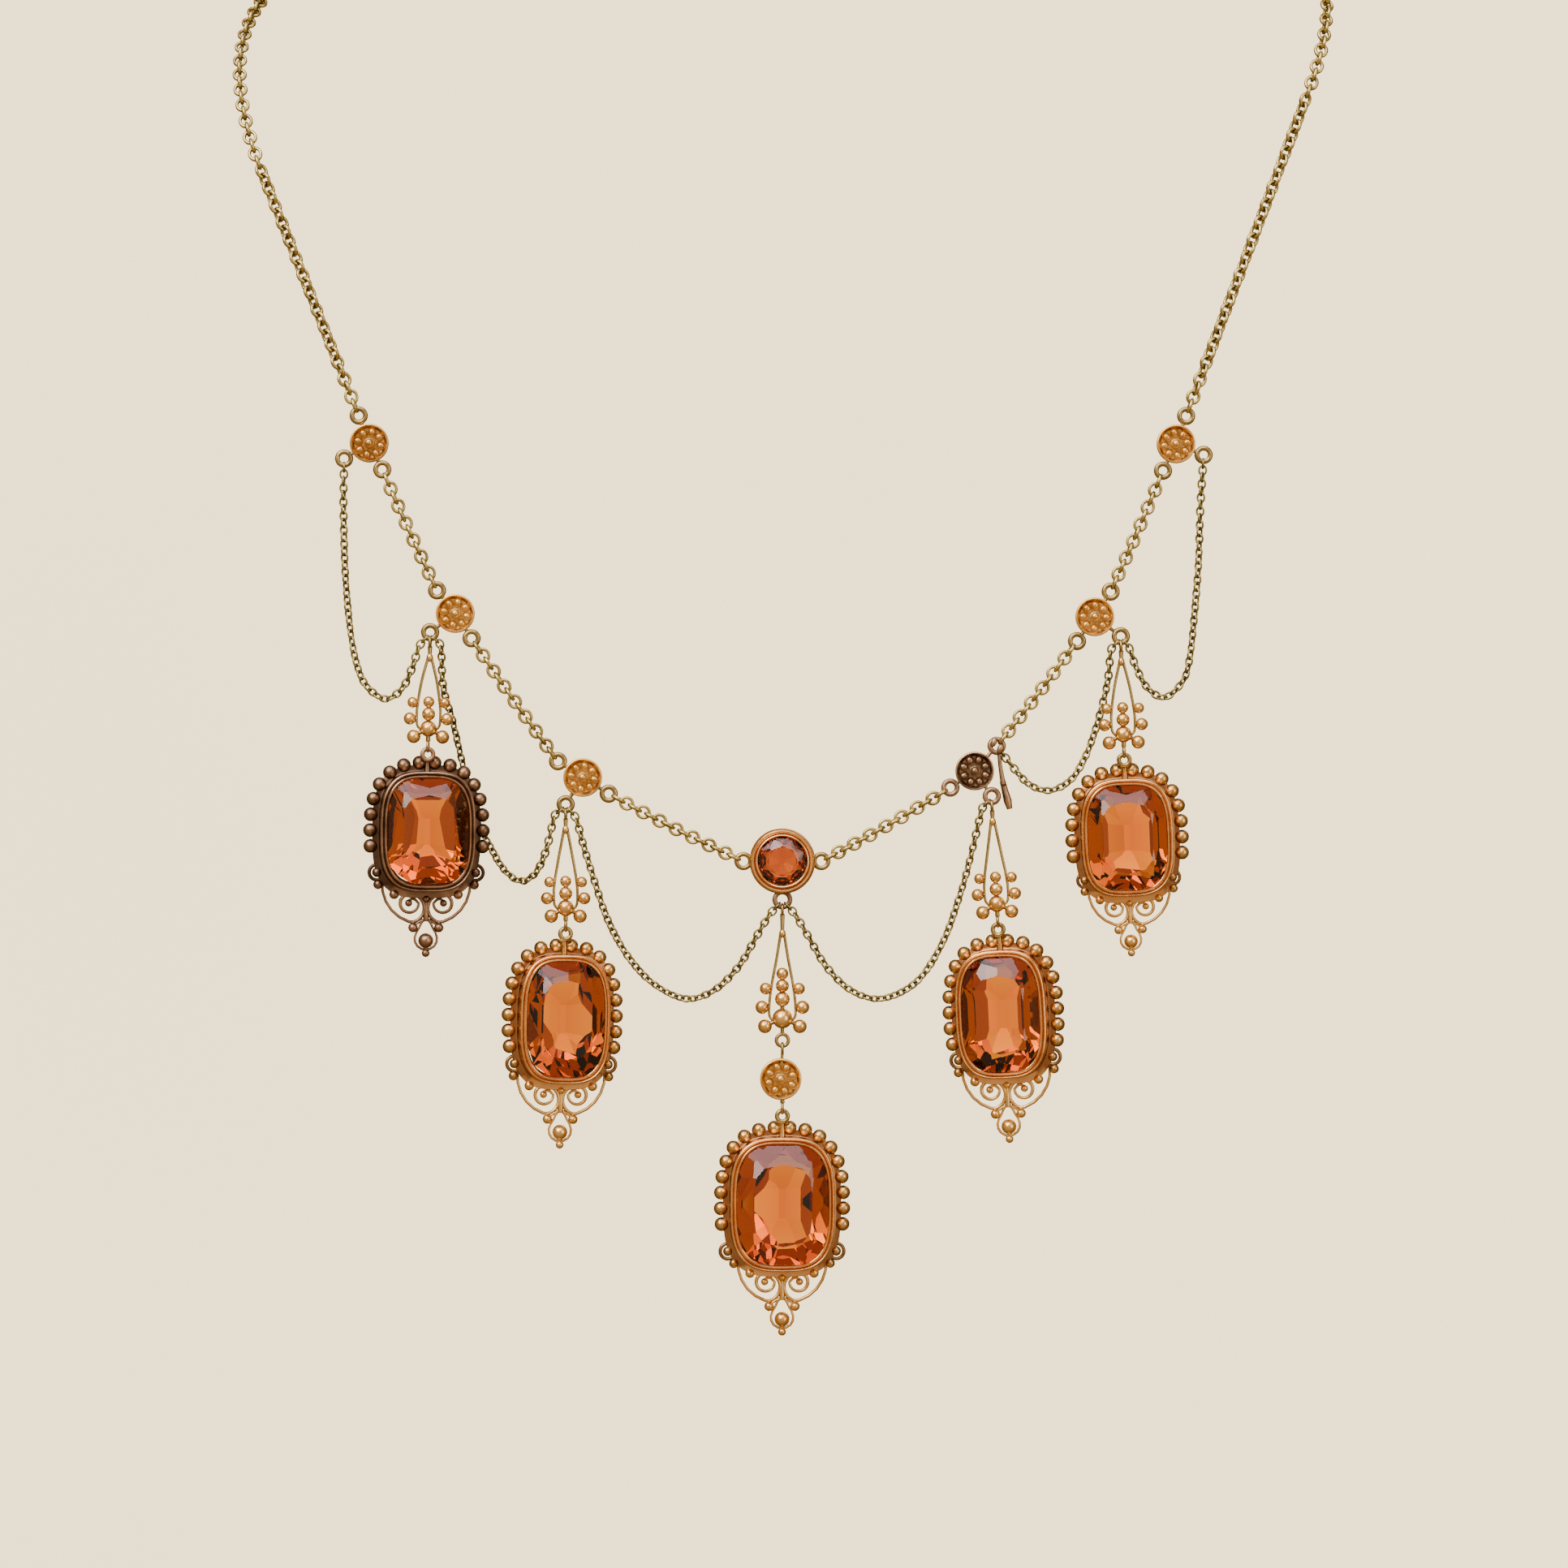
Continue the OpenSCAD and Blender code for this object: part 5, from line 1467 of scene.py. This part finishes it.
@dataclass
class Citrines:
    """The five cushion citrines and the round one.

    A facet below the girdle is one whose normal's Y passes the lower value, and it is one of the lowest if it
    passes the other. Blue is how much of it such a facet lets through. Their darker, randomly varied colour
    is painted shade for the dark patches of a cut stone, laid over the stone's own orange.
    """

    finish: CitrineFinish = CitrineFinish("cut_citrine", (0.925, 0.79, 0.06), 1000.0)
    deep_finish: CitrineFinish = CitrineFinish("cut_deep_citrine", (0.90, 0.62, 0.05), 1000.0)
    lower: float = 0.1
    lowest: float = 0.8
    blue: float = 0.02

    def tinted(self, piece: Piece, finish: CitrineFinish, clear: float, green: tuple[float, float],
               window: float) -> None:
        """Writes each facet's colour into its corners, darker ones below the girdle: painted shade over the
        stone's orange.

        Args:
            piece: The stone, in its own place.
            finish: What the stone is.
            clear: How clear the facets below the girdle are; the less clear, the more painted shade.
            green: How much less green than red they let through, least and most.
            window: How much clearer and yellower the lowest facets are, which show what lies behind; they get
                less painted shade.
        """
        chance = random.Random(piece.name)
        layer = piece.data.color_attributes.new("tint", "FLOAT_COLOR", "CORNER")
        for face in piece.data.polygons:
            shade = (1.0, 1.0, 1.0, 1.0)
            # Facets below the girdle are darkened at random: painted shade for a cut stone's dark patches
            if face.normal.y > self.lower:
                gain = window if face.normal.y > self.lowest else 1.0
                deep = clear * gain * chance.uniform(0.7, 1.15)
                shade = (deep, deep * gain * chance.uniform(*green), deep * self.blue, 1.0)
            for corner in face.loop_indices:
                layer.data[corner].color = shade
        piece.data.materials.clear()
        piece.data.materials.append(bpy.data.materials.get(finish.name) or finish.made())

    def build(self) -> None:
        """Cuts and sets the six stones."""
        mains, breaks = (tuple(sorted({m % 360 for q in quarter for m in (q, 180 - q, -q, 180 + q)}))
                         for quarter in ((0, 32, 58, 90), (15, 45, 75)))
        for drop in (*DROPS, CENTRE_DROP):
            cushion = CutStone(a=5, b=7.2, shape=3.1, table=-3.7, crown=-1.95, girdle=-1.68, steep=0.57,
                               shallow=0.75, culet=2.2, mains=mains, breaks=breaks, scissors=drop.window)
            stone = cushion.made(f"citrine_{drop.side}_stone")
            self.tinted(stone, self.finish, 0.36, (0.19, 0.3), 1.0)
            fitted = size(drop.half_w / cushion.a, 1, drop.half_h / cushion.b)
            stone.data.transform(drop.framed() @ shift(0, FRAME_BACK, -drop.drop) @ fitted)
            deliver(stone, f"citrine_{drop.side}", f"pendant_{drop.side}")
        around = tuple(45.0 * k for k in range(8))
        between = tuple(22.5 + 45 * k for k in range(8))
        stone = CutStone(a=3.15, b=3.15, shape=2, table=-1.75, crown=-0.95, girdle=-0.75, steep=0.61,
                         shallow=0.73, culet=1.1, mains=around, breaks=between, crown_angle=36, star_angle=22,
                         break_angle=44, steep_angle=46, shallow_angle=16).made("round_citrine_stone")
        self.tinted(stone, self.deep_finish, 0.075, (0.08, 0.12), 1.3)
        stone.data.transform(Matrix.Translation(MIDDLE))
        deliver(stone, "round_citrine", "necklace")


# The studio


@dataclass
class Studio:
    """Pale sweep, soft light and the camera that stands where the photograph's did, all in metres.

    The camera stands so far from the front plane, level with the middle given. The sheet glows by itself, a
    painted pool of light: its glow falls to the edge's share of it between the near and the far distance from
    the glow's centre.
    """

    eye: float = 0.7245
    middle_x: float = 0.0002
    middle_z: float = -0.1131
    floor: Row = (0, -0.3, -0.5)
    floor_width: float = 6.0
    floor_depth: float = 3.2
    wall_height: float = 2.2
    bend: float = 0.2
    paper: Rgb = (1.0, 0.79, 0.47)
    paper_glow: float = 3.1
    glow_centre: Row = (0, 1.3, -0.1)
    glow_near: float = 0.45
    glow_far: float = 1.0
    glow_edge: float = 0.36
    room_front: Row = (-0.1, -0.92, 0.38)
    room_dim: Rgb = (0.13, 0.07, 0.03)
    room_side: Rgb = (0.42, 0.27, 0.14)
    room_pale: Rgb = (0.80, 0.60, 0.40)

    def sweep(self) -> None:
        """Makes the floor and backdrop, one sheet with a round bend that glows by itself: painted light,
        brightest round the glow's centre.

        The metal doesn't reflect it, so that the rims of beads and wires stay dark.
        """
        Bench.clear()
        bpy.ops.mesh.primitive_plane_add(size=1, location=self.floor)
        piece = Bench.edit("studio_sweep")
        bpy.ops.transform.resize(value=(self.floor_width, self.floor_depth, 1), center_override=self.floor)
        mesh = bmesh.from_edit_mesh(piece.data)
        far = max(vertex.co.y for vertex in mesh.verts)
        bpy.ops.mesh.select_mode(type="EDGE")
        for edge in mesh.edges:
            edge.select_set(all(abs(vertex.co.y - far) < 1e-6 for vertex in edge.verts))
        bmesh.update_edit_mesh(piece.data)
        bpy.ops.mesh.extrude_region_move(TRANSFORM_OT_translate={"value": (0, 0, self.wall_height)})
        mesh = bmesh.from_edit_mesh(piece.data)
        for edge in mesh.edges:
            edge.select_set(all(abs(v.co.y - far) < 1e-6 and v.co.z < 0 for v in edge.verts))
        bmesh.update_edit_mesh(piece.data)
        bpy.ops.mesh.bevel(offset=self.bend, segments=12)
        bpy.ops.object.mode_set(mode="OBJECT")
        bpy.ops.object.shade_smooth()
        n = Nodes(bpy.data.materials.new("sweep_paper"))
        mottle = n.add("TexNoise", in_Scale=3.0, in_Detail=2.0)
        place = n.add("TexCoord").outputs["Object"]
        n.join(place, mottle.inputs["Vector"])
        away = n.add("VectorMath", operation="DISTANCE")
        away.inputs[1].default_value = self.glow_centre
        n.join(place, away.inputs[0])
        tone = n.blend(n.spread(mottle.outputs[0], 0.3, 0.7), self.paper, tuple(c * 0.97 for c in self.paper))
        # No lamp lights the sheet: its own glow, fading from the centre, is a painted pool of light
        glow = n.add("Emission")
        strength = n.spread(away.outputs["Value"], self.glow_near, self.glow_far, self.paper_glow,
                            self.paper_glow * self.glow_edge)
        n.join(strength, glow.inputs["Strength"])
        n.join(tone, glow.inputs["Color"])
        n.join(glow.outputs[0], n.add("OutputMaterial").inputs["Surface"])
        n.owner.cycles.emission_sampling = "NONE"
        piece.data.materials.append(n.owner)
        piece.visible_glossy = False

    def softbox(self, name: str, place: Vector, aim: Vector, width: float, height: float, glow: float,
                colour: Rgb) -> None:
        """Hangs a soft light.

        Args:
            name: What the light is called.
            place: Where it hangs.
            aim: What it points at.
            width: Its width.
            height: Its height.
            glow: How bright its face is.
            colour: Its colour.
        """
        lamp = bpy.data.lights.new(name, "AREA")
        lamp.shape = "RECTANGLE"
        lamp.size = width
        lamp.size_y = height
        lamp.energy = glow * math.pi * width * height
        lamp.color = colour
        holder = bpy.data.objects.new(name, lamp)
        holder.location = place
        holder.rotation_euler = (aim - place).to_track_quat("-Z", "Y").to_euler()
        bpy.context.scene.collection.objects.link(holder)

    def air(self) -> None:
        """Makes the room's own light: pale in front, warm and dim below and behind."""
        n = Nodes(bpy.data.worlds.new("room"))
        bpy.context.scene.world = n.owner
        front = n.add("VectorMath", operation="DOT_PRODUCT")
        front.inputs[1].default_value = self.room_front
        n.join(n.add("TexCoord").outputs["Generated"], front.inputs[0])
        ramp = n.add("ValToRGB")
        n.join(n.spread(front.outputs["Value"], -1, 1), ramp.inputs[0])
        light = n.add("Background")
        n.join(ramp.outputs[0], light.inputs[0])
        n.join(light.outputs[0], n.add("OutputWorld").inputs[0])
        ramp.color_ramp.elements[0].color = (*self.room_dim, 1)
        ramp.color_ramp.elements[1].color = (*self.room_pale, 1)
        middle = ramp.color_ramp.elements.new(0.5)
        middle.color = (*self.room_side, 1)

    def camera(self) -> None:
        """Sets up the camera, level and square to the front."""
        lens = bpy.data.cameras.new("portrait")
        lens.lens = 135
        lens.sensor_width = 36
        lens.clip_start = 0.05
        lens.clip_end = 20
        holder = bpy.data.objects.new("portrait", lens)
        holder.location = (self.middle_x, FRONT * MM - self.eye, self.middle_z)
        holder.rotation_euler = (math.pi / 2, 0, 0)
        bpy.context.scene.collection.objects.link(holder)
        bpy.context.scene.camera = holder

    def build(self) -> None:
        """Makes the studio."""
        aim = Vector((0, -0.05, -0.11))
        self.camera()
        self.sweep()
        self.air()
        self.softbox("key", Vector((-0.42, -0.75, 0.42)), aim, 0.5, 0.5, 8.0, (1.0, 0.96, 0.9))
        self.softbox("overhead", Vector((-0.15, -0.42, 0.6)), aim, 1.1, 0.8, 3.4, (0.95, 0.91, 0.98))
        self.softbox("rear", Vector((0.25, 0.75, 0.35)), aim, 0.8, 0.6, 1.3, (1.0, 0.9, 0.76))
        self.softbox("fill", Vector((0.7, -0.7, 0.0)), aim, 0.35, 0.7, 3.0, (1.0, 0.95, 0.88))


def main() -> None:
    """Builds the studio and every piece of the necklace."""
    logging.basicConfig(level=logging.INFO, format="%(message)s")
    Bench.clear()
    Studio().build()
    MainChain().build()
    SwagChain().build()
    rosette = Rosette()
    rosette.build()
    RoundSetting().build()
    BarrelClasp().build()
    Spray().build(rosette)
    frames = CushionFrame()
    for drop in (*DROPS, CENTRE_DROP):
        frames.build(drop)
    Citrines().build()
    # The parts that all others were copied from
    for name in ("main_link", "swag_link", "stud", "jump_ring", "flower", "granule", "frame_ring",
                 "corner_ring", "scroll", "spray_bead", "edge_loop"):
        bpy.data.objects.remove(bpy.data.objects[name])


if __name__ == "__main__":
    main()
